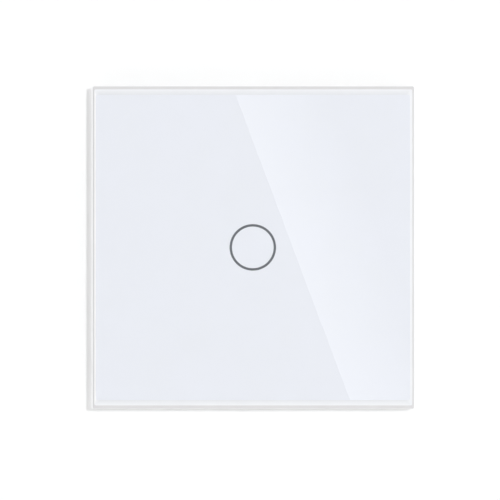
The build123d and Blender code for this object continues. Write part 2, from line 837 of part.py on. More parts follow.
# Contact tongues: bars that reach into the cages and turn down to the power board
tongue_bottom = chamber_bottom + cage_side_gap
tongue_top = block_top + seat_gap + tongue_thickness
with BuildPart() as contact_tongues:
    for place in pole_places:
        with BuildSketch(Plane.YZ.offset(place)):
            Polygon(
                (tongue_rear, tongue_bottom),
                (tongue_rear, tongue_top),
                (power_rear, tongue_top),
                (power_rear, tongue_top - tongue_thickness),
                (tongue_front, tongue_top - tongue_thickness),
                (tongue_front, tongue_bottom),
            )
        extrude(amount=tongue_width / 2, both=True)
contact_tongues.part.label = "contact_tongues"
export_step(contact_tongues.part, "parts/contact_tongues.step")

# Terminal screws and their rising cages, one of each to a pole
chamber_centre = (chamber_bottom + chamber_top) / 2
for pole, place in enumerate(pole_places, start=1):
    with BuildPart() as terminal_screw:
        with BuildSketch(at(screw_seat + terminal_head_height)):
            with Locations((place, chamber_centre)):
                Circle(terminal_head_radius)
        extrude(amount=terminal_head_height)
        chamfer(terminal_screw.edges().group_by(Axis.Y)[-1], rear_arris)
        with BuildSketch(at(screw_seat)):
            with Locations((place, chamber_centre)):
                Circle(terminal_radius)
        extrude(amount=screw_seat - nut_front - seat_gap)
        with BuildSketch(at(screw_seat + terminal_head_height)):
            with Locations((place, chamber_centre)):
                Rectangle(2 * terminal_head_radius, terminal_slot)
                Rectangle(terminal_slot, terminal_head_radius)
        extrude(amount=terminal_slot_depth, mode=Mode.SUBTRACT)
    terminal_screw.part.label = f"terminal_screw_{pole}"
    export_step(terminal_screw.part, f"parts/terminal_screw_{pole}.step")

    with BuildPart() as terminal_cage:
        cage_middle = (cage_front + cage_rear) / 2
        window_front = cage_front + cage_wall
        with BuildSketch(Plane.XY.offset(chamber_bottom + cage_side_gap)):
            with Locations((place, cage_middle)):
                Rectangle(cage_width, cage_rear - cage_front)
            with Locations((place, (window_front + nut_front) / 2)):
                Rectangle(cage_width - 2 * cage_wall, nut_front - window_front, mode=Mode.SUBTRACT)
        extrude(amount=cage_length)
        with BuildSketch(at(cage_rear)):
            with Locations((place, chamber_centre)):
                Circle(terminal_radius + slide_fit)
        extrude(amount=cage_nut, mode=Mode.SUBTRACT)
    terminal_cage.part.label = f"terminal_cage_{pole}"
    export_step(terminal_cage.part, f"parts/terminal_cage_{pole}.step")

# Relay case and base: an open box pushed down over a plate on the power board
relay_rear = power_rear + relay_height
base_rear = power_rear + relay_base_height
with BuildPart() as relay_case:
    with BuildSketch(at(relay_rear)):
        with Locations((0, relay_centre)):
            RectangleRounded(relay_length, relay_width, relay_wall)
    extrude(amount=relay_height)
    with BuildSketch(at(relay_rear - relay_wall)):
        with Locations((0, relay_centre)):
            Rectangle(relay_length - 2 * relay_wall, relay_width - 2 * relay_wall)
    extrude(amount=relay_height - relay_wall, mode=Mode.SUBTRACT)
relay_case.part.label = "relay_case"
export_step(relay_case.part, "parts/relay_case.step")

with BuildPart() as relay_base:
    with BuildSketch(at(base_rear)):
        with Locations((0, relay_centre)):
            Rectangle(inner_length, relay_width - 2 * relay_wall - 2 * slide_fit)
    extrude(amount=relay_base_height)
relay_base.part.label = "relay_base"
export_step(relay_base.part, "parts/relay_base.step")

# Relay frame: an L of soft iron, its foot under the coil, its upright ending in a round pivot edge
frame_left = -frame_outer
bobbin_front = base_rear + frame_thickness
bobbin_rear = bobbin_front + coil_length
pole_rear = bobbin_rear + pole_thickness
pivot_depth = pole_rear + pole_gap - pivot_gap
pivot_radius = frame_thickness / 2
pivot_axis = pivot_depth - pivot_radius
with BuildPart() as relay_frame:
    with BuildSketch(Plane.XY.offset(relay_centre)):
        Polygon(
            (frame_left, base_rear),
            (-coil_centre + pole_radius, base_rear),
            (-coil_centre + pole_radius, bobbin_front),
            (frame_left + frame_thickness, bobbin_front),
            (frame_left + frame_thickness, pivot_axis),
            (frame_left, pivot_axis),
        )
        with Locations((frame_left + pivot_radius, pivot_axis)):
            Circle(pivot_radius)
    extrude(amount=frame_width / 2, both=True)
relay_frame.part.label = "relay_frame"
export_step(relay_frame.part, "parts/relay_frame.step")

# Relay coil: bobbin with two flanges, winding between them, core with its pole face on top
coil_place = (-coil_centre, relay_centre)
with BuildPart() as relay_bobbin:
    for flange_rear in (bobbin_front + flange_thickness, bobbin_rear):
        with BuildSketch(at(flange_rear)):
            with Locations(coil_place):
                Rectangle(flange_side, flange_side)
        extrude(amount=flange_thickness)
    with BuildSketch(at(bobbin_rear)):
        with Locations(coil_place):
            Circle(barrel_radius)
    extrude(amount=bobbin_rear - bobbin_front)
    with BuildSketch(at(bobbin_rear)):
        with Locations(coil_place):
            Circle(core_radius + slide_fit)
    extrude(amount=bobbin_rear - bobbin_front, mode=Mode.SUBTRACT)
relay_bobbin.part.label = "relay_bobbin"
export_step(relay_bobbin.part, "parts/relay_bobbin.step")

with BuildPart() as relay_winding:
    with BuildSketch(at(bobbin_rear - flange_thickness)):
        with Locations(coil_place):
            Circle(winding_radius)
            Circle(barrel_radius, mode=Mode.SUBTRACT)
    extrude(amount=flange_spread)
relay_winding.part.label = "relay_winding"
export_step(relay_winding.part, "parts/relay_winding.step")

with BuildPart() as relay_core:
    with BuildSketch(at(bobbin_rear)):
        with Locations(coil_place):
            Circle(core_radius)
    extrude(amount=bobbin_rear - bobbin_front)
    with BuildSketch(at(pole_rear)):
        with Locations(coil_place):
            Circle(pole_radius)
    extrude(amount=pole_thickness)
relay_core.part.label = "relay_core"
export_step(relay_core.part, "parts/relay_core.step")

# Relay armature: an iron plate that tilts round the frame's pivot edge, shown released
armature_front = pivot_depth + pivot_gap
armature_rear = armature_front + frame_thickness
with BuildPart() as relay_armature:
    with BuildSketch(at(armature_rear)):
        with Locations((frame_left + armature_length / 2, relay_centre)):
            Rectangle(armature_length, frame_width)
    extrude(amount=frame_thickness)
relay_armature.part.label = "relay_armature"
export_step(relay_armature.part, "parts/relay_armature.step")

# Contact blade: a leaf on the armature that carries the moving contact button
contact_place = inner_length / 2 - contact_inset - contact_radius
blade_left = frame_left + frame_inset
with BuildPart() as contact_blade:
    with BuildSketch(at(armature_rear + blade_thickness)):
        with Locations(((blade_left + contact_place) / 2, relay_centre)):
            Rectangle(contact_place - blade_left, blade_width)
        with Locations((contact_place, relay_centre)):
            Circle(blade_width / 2)
    extrude(amount=blade_thickness)
    with BuildSketch(at(armature_rear)):
        with Locations((contact_place, relay_centre)):
            Circle(contact_radius)
    extrude(amount=contact_height)
contact_blade.part.label = "contact_blade"
export_step(contact_blade.part, "parts/contact_blade.step")

# Fixed contact: a bent strip on the base with the fixed contact button
button_rear = armature_rear - contact_height - contact_gap
strip_rear = button_rear - contact_height
strip_right = contact_place + contact_radius + contact_strip
with BuildPart() as fixed_contact:
    with BuildSketch(Plane.XY.offset(relay_centre)):
        Polygon(
            (contact_place - contact_radius, strip_rear),
            (strip_right, strip_rear),
            (strip_right, base_rear),
            (strip_right - contact_foot, base_rear),
            (strip_right - contact_foot, base_rear + contact_strip),
            (strip_right - contact_strip, base_rear + contact_strip),
            (strip_right - contact_strip, strip_rear - contact_strip),
            (contact_place - contact_radius, strip_rear - contact_strip),
        )
    extrude(amount=blade_width / 2, both=True)
    with BuildSketch(at(button_rear)):
        with Locations((contact_place, relay_centre)):
            Circle(contact_radius)
    extrude(amount=contact_height)
fixed_contact.part.label = "fixed_contact"
export_step(fixed_contact.part, "parts/fixed_contact.step")

# Film capacitor: a moulded block with rounded edges
with BuildPart() as film_capacitor:
    with BuildSketch(at(power_rear + film_height)):
        with Locations(board_place(film_place_shares)):
            Rectangle(film_length, film_width)
    extrude(amount=film_height)
    fillet(film_capacitor.edges().filter_by(Axis.Y), film_round)
    fillet(film_capacitor.faces().sort_by(Axis.Y)[-1].edges(), film_round / 2)
film_capacitor.part.label = "film_capacitor"
export_step(film_capacitor.part, "parts/film_capacitor.step")

# Smoothing capacitor: an upright can with a rolled top edge
with BuildPart() as smoothing_capacitor:
    with BuildSketch(at(power_rear + can_height)):
        with Locations(board_place(can_place_shares)):
            Circle(can_radius)
    extrude(amount=can_height)
    fillet(smoothing_capacitor.edges().group_by(Axis.Y)[-1], can_round)
smoothing_capacitor.part.label = "smoothing_capacitor"
export_step(smoothing_capacitor.part, "parts/smoothing_capacitor.step")

# Choke: a ferrite drum with a winding round its waist
choke_place = board_place(choke_place_shares)
choke_rear = power_rear + choke_height
with BuildPart() as choke_core:
    with BuildSketch(at(choke_rear)):
        with Locations(choke_place):
            Circle(choke_radius)
    extrude(amount=choke_height)
    with BuildSketch(at(choke_rear - choke_flange)):
        with Locations(choke_place):
            Circle(choke_radius)
            Circle(choke_waist, mode=Mode.SUBTRACT)
    extrude(amount=choke_height - 2 * choke_flange, mode=Mode.SUBTRACT)
choke_core.part.label = "choke_core"
export_step(choke_core.part, "parts/choke_core.step")

with BuildPart() as choke_winding:
    with BuildSketch(at(choke_rear - choke_flange)):
        with Locations(choke_place):
            Circle(choke_winding_radius)
            Circle(choke_waist, mode=Mode.SUBTRACT)
    extrude(amount=choke_height - 2 * choke_flange)
choke_winding.part.label = "choke_winding"
export_step(choke_winding.part, "parts/choke_winding.step")

# Varistor: a coated disc that stands on edge
varistor_x, varistor_z = board_place(varistor_place_shares)
with BuildPart() as varistor:
    with BuildSketch(Plane.YZ.offset(varistor_x)):
        with Locations((power_rear + varistor_radius + seat_gap, varistor_z)):
            Circle(varistor_radius)
    extrude(amount=varistor_thickness / 2, both=True)
    fillet(varistor.edges(), varistor_round)
varistor.part.label = "varistor"
export_step(varistor.part, "parts/varistor.step")

# Fuse resistor: a ceramic body lying on the board, its leads turned down
fuse_x, fuse_z = board_place(fuse_place_shares)
fuse_axis = power_rear + fuse_radius + seat_gap
lead_place = fuse_length / 2 + fuse_lead_reach
with BuildPart() as fuse_resistor:
    with BuildSketch(Plane.YZ.offset(fuse_x)):
        with Locations((fuse_axis, fuse_z)):
            Circle(fuse_radius)
    extrude(amount=fuse_length / 2, both=True)
    fillet(fuse_resistor.edges(), fuse_lead)
    with BuildSketch(Plane.YZ.offset(fuse_x)):
        with Locations((fuse_axis, fuse_z)):
            Circle(fuse_lead)
    extrude(amount=lead_place, both=True)
    with BuildSketch(at(fuse_axis)):
        with Locations((fuse_x + lead_place, fuse_z), (fuse_x - lead_place, fuse_z)):
            Circle(fuse_lead)
    extrude(amount=fuse_axis - power_rear)
fuse_resistor.part.label = "fuse_resistor"
export_step(fuse_resistor.part, "parts/fuse_resistor.step")

# Bridge rectifier: a flat moulded block
with BuildPart() as bridge_rectifier:
    with BuildSketch(at(power_rear + bridge_height)):
        with Locations(board_place(bridge_place_shares)):
            Rectangle(bridge_length, bridge_width)
    extrude(amount=bridge_height)
    chamfer(bridge_rectifier.faces().sort_by(Axis.Y)[-1].edges(), rear_arris)
bridge_rectifier.part.label = "bridge_rectifier"
export_step(bridge_rectifier.part, "parts/bridge_rectifier.step")

# Voltage regulator: a round body with one flat, on three legs
regulator_x, regulator_z = board_place(regulator_place_shares)
regulator_front = power_rear + regulator_lift
with BuildPart() as voltage_regulator:
    with BuildSketch(at(regulator_front + regulator_height)):
        with Locations((regulator_x, regulator_z)):
            Circle(regulator_radius)
        with Locations((regulator_x, regulator_z - regulator_flat - regulator_radius)):
            Rectangle(2 * regulator_radius, 2 * regulator_radius, mode=Mode.SUBTRACT)
    extrude(amount=regulator_height)
    with BuildSketch(at(regulator_front)):
        with Locations((regulator_x, regulator_z)):
            with GridLocations(regulator_spacing, 0, regulator_legs, 1):
                Rectangle(regulator_leg, regulator_leg)
    extrude(amount=regulator_lift)
voltage_regulator.part.label = "voltage_regulator"
export_step(voltage_regulator.part, "parts/voltage_regulator.step")
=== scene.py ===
import math

import bmesh
import bpy
from mathutils import Matrix, Vector


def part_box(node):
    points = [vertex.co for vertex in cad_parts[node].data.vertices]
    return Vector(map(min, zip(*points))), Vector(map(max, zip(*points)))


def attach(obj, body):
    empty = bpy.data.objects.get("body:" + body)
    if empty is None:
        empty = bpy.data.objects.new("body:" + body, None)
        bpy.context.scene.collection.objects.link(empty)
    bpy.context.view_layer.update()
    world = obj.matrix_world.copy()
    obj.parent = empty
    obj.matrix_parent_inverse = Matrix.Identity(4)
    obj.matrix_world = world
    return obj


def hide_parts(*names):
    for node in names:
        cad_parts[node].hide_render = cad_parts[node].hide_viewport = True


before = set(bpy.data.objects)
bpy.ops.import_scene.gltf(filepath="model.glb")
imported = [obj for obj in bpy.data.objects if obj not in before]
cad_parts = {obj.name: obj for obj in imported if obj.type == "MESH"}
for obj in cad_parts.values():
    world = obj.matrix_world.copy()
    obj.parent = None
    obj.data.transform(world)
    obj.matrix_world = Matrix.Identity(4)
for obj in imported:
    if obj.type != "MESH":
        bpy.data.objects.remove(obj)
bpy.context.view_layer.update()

# Back box: the dark body that goes into the wall box.
# Glass-filled polyamide, injection moulded in a spark-eroded tool, so it is dull, finely
# grained and faintly cloudy. A raised arrow in a sunk field on its rear says which way is up.
merge_gap = 0.000002


def linear(code):
    """A colour written as sRGB hex, as the linear colour that shader sockets take."""
    parts = [int(code[i:i + 2], 16) / 255 for i in (1, 3, 5)]
    return tuple(c / 12.92 if c <= 0.04045 else ((c + 0.055) / 1.055) ** 2.4 for c in parts) + (1.0,)


def add_node(tree, kind, settings=None, links=None):
    """Adds a node; settings are sockets or properties by name, links are socket: output."""
    made = tree.nodes.new(kind)
    for key, value in (settings or {}).items():
        if isinstance(key, int) or key in made.inputs:
            made.inputs[key].default_value = value
        else:
            setattr(made, key, value)
    for key, output in (links or {}).items():
        tree.links.new(output, made.inputs[key])
    return made


def start_material(name):
    """An empty material that uses nodes, and its tree."""
    material = bpy.data.materials.new(name)
    material.use_nodes = True
    material.node_tree.nodes.clear()
    return material, material.node_tree


def moulded_plastic(name, pale, dark, grain, depth, roughness, cloud=0.006, coat=0.0, ior=1.5):
    """A moulded plastic: two near colours in clouds, and a grain of that size and depth in metres."""
    material, tree = start_material(name)
    place = add_node(tree, "ShaderNodeTexCoord").outputs["Object"]
    clouds = add_node(
        tree, "ShaderNodeTexNoise", {"Scale": 1 / cloud, "Detail": 3.0}, {"Vector": place})
    colour = add_node(
        tree, "ShaderNodeMix", {"data_type": "RGBA", 6: linear(dark), 7: linear(pale)},
        {0: clouds.outputs["Fac"]})
    pits = add_node(
        tree, "ShaderNodeTexNoise", {"Scale": 1 / grain, "Detail": 4.0, "Roughness": 0.6},
        {"Vector": place})
    gloss = add_node(
        tree, "ShaderNodeMapRange", {"To Min": roughness - 0.06, "To Max": roughness + 0.06},
        {"Value": pits.outputs["Fac"]})
    bump = add_node(
        tree, "ShaderNodeBump", {"Strength": 0.6, "Distance": depth}, {"Height": pits.outputs["Fac"]})
    skin = add_node(
        tree, "ShaderNodeBsdfPrincipled", {"IOR": ior, "Coat Weight": coat, "Coat Roughness": 0.12},
        {"Base Color": colour.outputs[2], "Roughness": gloss.outputs["Result"],
         "Normal": bump.outputs["Normal"]})
    add_node(tree, "ShaderNodeOutputMaterial", None, {"Surface": skin.outputs["BSDF"]})
    return material


def new_piece(name):
    """An empty piece of that name, in the scene."""
    piece = bpy.data.objects.new(name, bpy.data.meshes.new(name))
    bpy.context.scene.collection.objects.link(piece)
    return piece


def copy_of(node, name):
    """A new piece with a CAD node's shape, its doubles merged and its flat faces whole."""
    piece = new_piece(name)
    shape = bmesh.new()
    shape.from_mesh(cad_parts[node].data)
    bmesh.ops.remove_doubles(shape, verts=shape.verts, dist=merge_gap)
    bmesh.ops.dissolve_limit(shape, angle_limit=math.radians(0.5), verts=shape.verts, edges=shape.edges)
    shape.to_mesh(piece.data)
    shape.free()
    return piece


def dress(piece, material, body, nodes=(), smooth=32.0):
    """Gives a piece its material and smooth shading, and puts it on its CAD body."""
    piece.data.materials.clear()
    piece.data.materials.append(material)
    piece.data.polygons.foreach_set("use_smooth", [True] * len(piece.data.polygons))
    piece.data.set_sharp_from_angle(angle=math.radians(smooth))
    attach(piece, body)
    if nodes:
        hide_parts(*nodes)
    return piece


def eased(piece, width, steps=2):
    """Rounds a piece's edges as a mould or a tumbler does; width is in metres."""
    bevel = piece.modifiers.new("eased edges", "BEVEL")
    bevel.width = width
    bevel.segments = steps
    bevel.limit_method = "ANGLE"
    bevel.angle_limit = math.radians(38)
    bevel.use_clamp_overlap = False
    bevel.loop_slide = False
    return piece


# The real grain is 0.2 mm, too fine to show from a step away, so it is drawn 0.5 mm.
black_polyamide = moulded_plastic(
    "glass filled polyamide, spark eroded black", "#2c2d2f", "#1d1e20", 0.0005, 0.00014, 0.56, 0.009)
back_box = eased(copy_of("back_box", "moulded_back_box"), 0.00013)
dress(back_box, black_polyamide, "wall_unit", ["back_box"])

field_depth, arrow_proud, arrow_buried = 0.0003, 0.00025, 0.0001
arrow_middle, arrow_half = 0.015, 0.0032
stem, wing, shoulder = 0.22 * arrow_half, 0.75 * arrow_half, 0.15 * arrow_half
outline = [
    (0, arrow_half), (wing, shoulder), (stem, shoulder), (stem, -arrow_half),
    (-stem, -arrow_half), (-stem, shoulder), (-wing, shoulder)]
field_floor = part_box("back_box")[1][1] - field_depth
up_arrow = new_piece("raised_up_arrow")
shape = bmesh.new()
foot = shape.faces.new([
    shape.verts.new((x, field_floor - arrow_buried, arrow_middle + z)) for x, z in outline])
for part in bmesh.ops.extrude_face_region(shape, geom=[foot])["geom"]:
    if isinstance(part, bmesh.types.BMVert):
        part.co.y = field_floor + arrow_proud
bmesh.ops.recalc_face_normals(shape, faces=shape.faces)
shape.to_mesh(up_arrow.data)
shape.free()
dress(eased(up_arrow, 0.00006), black_polyamide, "wall_unit")

# Terminal block: grey housing of the three screw terminals, snapped into the back box.
# Polyamide 66, moulded satin; its real grain is 0.1 mm, so it is drawn 0.4 mm to show. A raised
# figure over each screw well numbers the poles.
grey_polyamide = moulded_plastic(
    "polyamide 66, moulded satin grey", "#9da2a6", "#8b9094", 0.0004, 0.00004, 0.42, 0.005)
terminal_block = eased(copy_of("terminal_block", "moulded_terminal_block"), 0.00012)
dress(terminal_block, grey_polyamide, "wall_unit", ["terminal_block"])

figure_height, figure_proud, figure_middle = 0.0016, 0.00015, -0.01605
height_in_font = 0.73
block_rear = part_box("terminal_block")[1][1]
numbers = new_piece("raised_terminal_numbers")
shape = bmesh.new()
for pole in (1, 2, 3):
    screw_low, screw_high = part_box(f"terminal_screw_{pole}")
    figure = bpy.data.curves.new("figure", "FONT")
    figure.body = str(pole)
    figure.size = figure_height / height_in_font
    figure.extrude = figure_proud
    figure.align_x = "CENTER"
    figure.align_y = "CENTER"
    figure.resolution_u = 4
    written = bpy.data.objects.new("figure", figure)
    bpy.context.scene.collection.objects.link(written)
    solid = bpy.data.meshes.new_from_object(written.evaluated_get(bpy.context.evaluated_depsgraph_get()))
    start = len(shape.verts)
    shape.from_mesh(solid)
    shape.verts.ensure_lookup_table()
    stand = Matrix.Translation(((screw_low[0] + screw_high[0]) / 2, block_rear, figure_middle))
    facing = stand @ Matrix.Rotation(math.pi, 4, "Z") @ Matrix.Rotation(math.pi / 2, 4, "X")
    bmesh.ops.transform(shape, matrix=facing, verts=shape.verts[start:])
    bpy.data.objects.remove(written)
bmesh.ops.remove_doubles(shape, verts=shape.verts, dist=merge_gap)
bmesh.ops.recalc_face_normals(shape, faces=shape.faces)
shape.to_mesh(numbers.data)
shape.free()
dress(numbers, grey_polyamide, "wall_unit")

# Terminal screws, cages and tongues: the metal inside the block.
# Screws are steel with rolled threads, bright zinc plated; cages are folded zinc-plated steel;
# tongues are rolled brass. Plating is even, so the gloss changes only with handling marks.
handling_mark = 0.006


def plated_metal(name, pale, dark, roughness, grain, stretch=(1, 1, 1), depth=0.000004):
    """A metal skin: two near tones, and a grain of that size in metres, drawn out along an axis."""
    material, tree = start_material(name)
    place = add_node(tree, "ShaderNodeTexCoord").outputs["Object"]
    drawn = add_node(tree, "ShaderNodeMapping", {"Scale": stretch}, {"Vector": place})
    lines = add_node(
        tree, "ShaderNodeTexNoise", {"Scale": 1 / grain, "Detail": 5.0, "Roughness": 0.65},
        {"Vector": drawn.outputs["Vector"]})
    stain = add_node(
        tree, "ShaderNodeTexNoise", {"Scale": 1 / handling_mark, "Detail": 2.0}, {"Vector": place})
    tone = add_node(
        tree, "ShaderNodeMix", {0: 0.4}, {2: stain.outputs["Fac"], 3: lines.outputs["Fac"]})
    colour = add_node(
        tree, "ShaderNodeMix", {"data_type": "RGBA", 6: linear(dark), 7: linear(pale)},
        {0: tone.outputs[0]})
    gloss = add_node(
        tree, "ShaderNodeMapRange", {"To Min": roughness - 0.12, "To Max": roughness + 0.14},
        {"Value": lines.outputs["Fac"]})
    bump = add_node(
        tree, "ShaderNodeBump", {"Strength": 0.5, "Distance": depth}, {"Height": lines.outputs["Fac"]})
    skin = add_node(
        tree, "ShaderNodeBsdfPrincipled", {"Metallic": 1.0},
        {"Base Color": colour.outputs[2], "Roughness": gloss.outputs["Result"],
         "Normal": bump.outputs["Normal"]})
    add_node(tree, "ShaderNodeOutputMaterial", None, {"Surface": skin.outputs["BSDF"]})
    return material


def finish_node(node, material):
    """Gives a CAD node that keeps its own shape its material."""
    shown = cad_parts[node]
    shown.data.materials.clear()
    shown.data.materials.append(material)


bright_zinc = plated_metal("steel, bright zinc plated", "#d2d4d3", "#bfc2c3", 0.26, 0.0006)
rolled_zinc = plated_metal(
    "steel strip, zinc plated and pressed", "#cdd1d2", "#a9afb3", 0.34, 0.0006, (1, 1, 0.1), 0.00002)
rolled_brass = plated_metal("brass, rolled strip", "#d9b968", "#c4a04e", 0.3, 0.0004, (1, 0.15, 1))

# The rolled thread is a bar along Z whose radius follows a helix and fades out at both ends. The
# flank starts and ends that many turns from the middle of the crest.
bar_sides, rows_per_turn, flank_foot, flank_crest, point_taper = 28, 8.0, 0.44, 0.08, 0.72
thread = bpy.data.node_groups.new("rolled_thread", "GeometryNodeTree")
for title, kind in (
    ("Root Radius", "NodeSocketFloat"), ("Crest Radius", "NodeSocketFloat"),
    ("Pitch", "NodeSocketFloat"), ("Length", "NodeSocketFloat"),
    ("Point Length", "NodeSocketFloat"), ("Metal", "NodeSocketMaterial"),
):
    thread.interface.new_socket(title, in_out="INPUT", socket_type=kind)
thread.interface.new_socket("Bar", in_out="OUTPUT", socket_type="NodeSocketGeometry")
sizes_in = thread.nodes.new("NodeGroupInput").outputs
turns = add_node(
    thread, "ShaderNodeMath", {"operation": "DIVIDE"}, {0: sizes_in["Length"], 1: sizes_in["Pitch"]})
rows = add_node(
    thread, "ShaderNodeMath", {"operation": "MULTIPLY", 1: rows_per_turn}, {0: turns.outputs[0]})
bar = add_node(
    thread, "GeometryNodeMeshCylinder", {"Vertices": bar_sides, "fill_type": "NGON"},
    {"Side Segments": rows.outputs[0], "Radius": sizes_in["Crest Radius"], "Depth": sizes_in["Length"]})
position = add_node(thread, "GeometryNodeInputPosition")
spot = add_node(thread, "ShaderNodeSeparateXYZ", None, {0: position.outputs["Position"]})
around = add_node(
    thread, "ShaderNodeMath", {"operation": "ARCTAN2"}, {0: spot.outputs["Y"], 1: spot.outputs["X"]})
part_turn = add_node(
    thread, "ShaderNodeMath", {"operation": "DIVIDE", 1: 2 * math.pi}, {0: around.outputs[0]})
along = add_node(
    thread, "ShaderNodeMath", {"operation": "DIVIDE"}, {0: spot.outputs["Z"], 1: sizes_in["Pitch"]})
phase = add_node(
    thread, "ShaderNodeMath", {"operation": "SUBTRACT"}, {0: along.outputs[0], 1: part_turn.outputs[0]})
within = add_node(thread, "ShaderNodeMath", {"operation": "FRACT"}, {0: phase.outputs[0]})
middle_off = add_node(
    thread, "ShaderNodeMath", {"operation": "SUBTRACT", 1: 0.5}, {0: within.outputs[0]})
flank = add_node(thread, "ShaderNodeMath", {"operation": "ABSOLUTE"}, {0: middle_off.outputs[0]})
profile = add_node(
    thread, "ShaderNodeMapRange", {"From Min": flank_foot, "From Max": flank_crest},
    {"Value": flank.outputs[0]})
half = add_node(thread, "ShaderNodeMath", {"operation": "MULTIPLY", 1: 0.5}, {0: sizes_in["Length"]})
to_end = add_node(
    thread, "ShaderNodeMath", {"operation": "SUBTRACT"}, {0: half.outputs[0], 1: spot.outputs["Z"]})
from_start = add_node(
    thread, "ShaderNodeMath", {"operation": "ADD"}, {0: half.outputs[0], 1: spot.outputs["Z"]})
runs_in = add_node(
    thread, "ShaderNodeMapRange", None,
    {"Value": from_start.outputs[0], "From Max": sizes_in["Pitch"]})
runs_out = add_node(
    thread, "ShaderNodeMapRange", None,
    {"Value": to_end.outputs[0], "From Max": sizes_in["Point Length"]})
both_ends = add_node(
    thread, "ShaderNodeMath", {"operation": "MULTIPLY"},
    {0: runs_in.outputs["Result"], 1: runs_out.outputs["Result"]})
lift = add_node(
    thread, "ShaderNodeMath", {"operation": "MULTIPLY"},
    {0: profile.outputs["Result"], 1: both_ends.outputs[0]})
point = add_node(
    thread, "ShaderNodeMapRange", {"To Min": point_taper}, {"Value": runs_out.outputs["Result"]})
root = add_node(
    thread, "ShaderNodeMath", {"operation": "MULTIPLY"},
    {0: sizes_in["Root Radius"], 1: point.outputs["Result"]})
height = add_node(
    thread, "ShaderNodeMath", {"operation": "SUBTRACT"},
    {0: sizes_in["Crest Radius"], 1: sizes_in["Root Radius"]})
radius = add_node(
    thread, "ShaderNodeMath", {"operation": "MULTIPLY_ADD"},
    {0: height.outputs[0], 1: lift.outputs[0], 2: root.outputs[0]})
ratio = add_node(
    thread, "ShaderNodeMath", {"operation": "DIVIDE"},
    {0: radius.outputs[0], 1: sizes_in["Crest Radius"]})
new_x = add_node(
    thread, "ShaderNodeMath", {"operation": "MULTIPLY"}, {0: spot.outputs["X"], 1: ratio.outputs[0]})
new_y = add_node(
    thread, "ShaderNodeMath", {"operation": "MULTIPLY"}, {0: spot.outputs["Y"], 1: ratio.outputs[0]})
new_spot = add_node(
    thread, "ShaderNodeCombineXYZ", None,
    {0: new_x.outputs[0], 1: new_y.outputs[0], 2: spot.outputs["Z"]})
rolled = add_node(
    thread, "GeometryNodeSetPosition", None,
    {"Geometry": bar.outputs["Mesh"], "Position": new_spot.outputs[0]})
real = add_node(
    thread, "GeometryNodeRealizeInstances", None, {"Geometry": rolled.outputs["Geometry"]})
clad = add_node(
    thread, "GeometryNodeSetMaterial", None,
    {"Geometry": real.outputs["Geometry"], "Material": sizes_in["Metal"]})
thread.links.new(clad.outputs["Geometry"], thread.nodes.new("NodeGroupOutput").inputs[0])


def grown(tree, name, values):
    """The plain mesh that a node tree makes from its named inputs."""
    maker_object = new_piece(name + "_seed")
    maker = maker_object.modifiers.new(name, "NODES")
    maker.node_group = tree
    for item in tree.interface.items_tree:
        if item.item_type == "SOCKET" and item.in_out == "INPUT" and item.name in values:
            maker[item.identifier] = values[item.name]
    seen_object = maker_object.evaluated_get(bpy.context.evaluated_depsgraph_get())
    mesh = bpy.data.meshes.new_from_object(seen_object)
    mesh.name = name
    maker_object.modifiers.remove(maker)
    bpy.data.objects.remove(maker_object)
    return mesh


def threaded(piece, stub_end, bar, places, turn):
    """Cuts a screw copy's shanks back to stubs and puts a threaded bar on each."""
    shape = bmesh.new()
    shape.from_mesh(piece.data)
    for v in shape.verts:
        v.co.y = min(v.co.y, stub_end) if turn < 0 else max(v.co.y, stub_end)
    bmesh.ops.remove_doubles(shape, verts=shape.verts, dist=merge_gap)
    bmesh.ops.dissolve_degenerate(shape, edges=shape.edges, dist=merge_gap)
    known = set(shape.verts)
    for x, y, z in places:
        shape.from_mesh(bar)
        added = [v for v in shape.verts if v not in known]
        spin = Matrix.Translation((x, y, z)) @ Matrix.Rotation(turn * math.pi / 2, 4, "X")
        bmesh.ops.transform(shape, matrix=spin, verts=added)
        known.update(added)
    shape.to_mesh(piece.data)
    shape.free()
    return piece


terminal_pitch, terminal_shank, terminal_head = 0.0005, 0.0042, 0.0021
terminal_bar = grown(thread, "terminal_thread", {
    "Root Radius": 0.0012, "Crest Radius": 0.0015, "Pitch": terminal_pitch, "Length": terminal_shank,
    "Point Length": 0.0006, "Metal": bright_zinc})
for pole in (1, 2, 3):
    node = f"terminal_screw_{pole}"
    screw_low, screw_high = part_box(node)
    axis_x, axis_z = (screw_low[0] + screw_high[0]) / 2, (screw_low[2] + screw_high[2]) / 2
    screw = copy_of(node, f"zinc_terminal_screw_{pole}")
    threaded(
        screw, screw_high[1] - terminal_head, terminal_bar,
        [(axis_x, screw_low[1] + terminal_shank / 2, axis_z)], 1)
    dress(screw, bright_zinc, f"screw_{pole}", [node])
    cage = eased(copy_of(f"terminal_cage_{pole}", f"folded_terminal_cage_{pole}"), 0.0001)
    dress(cage, rolled_zinc, f"cage_{pole}", [f"terminal_cage_{pole}"])
tongues = eased(copy_of("contact_tongues", "brass_contact_tongues"), 0.00008)
dress(tongues, rolled_brass, "wall_unit", ["contact_tongues"])

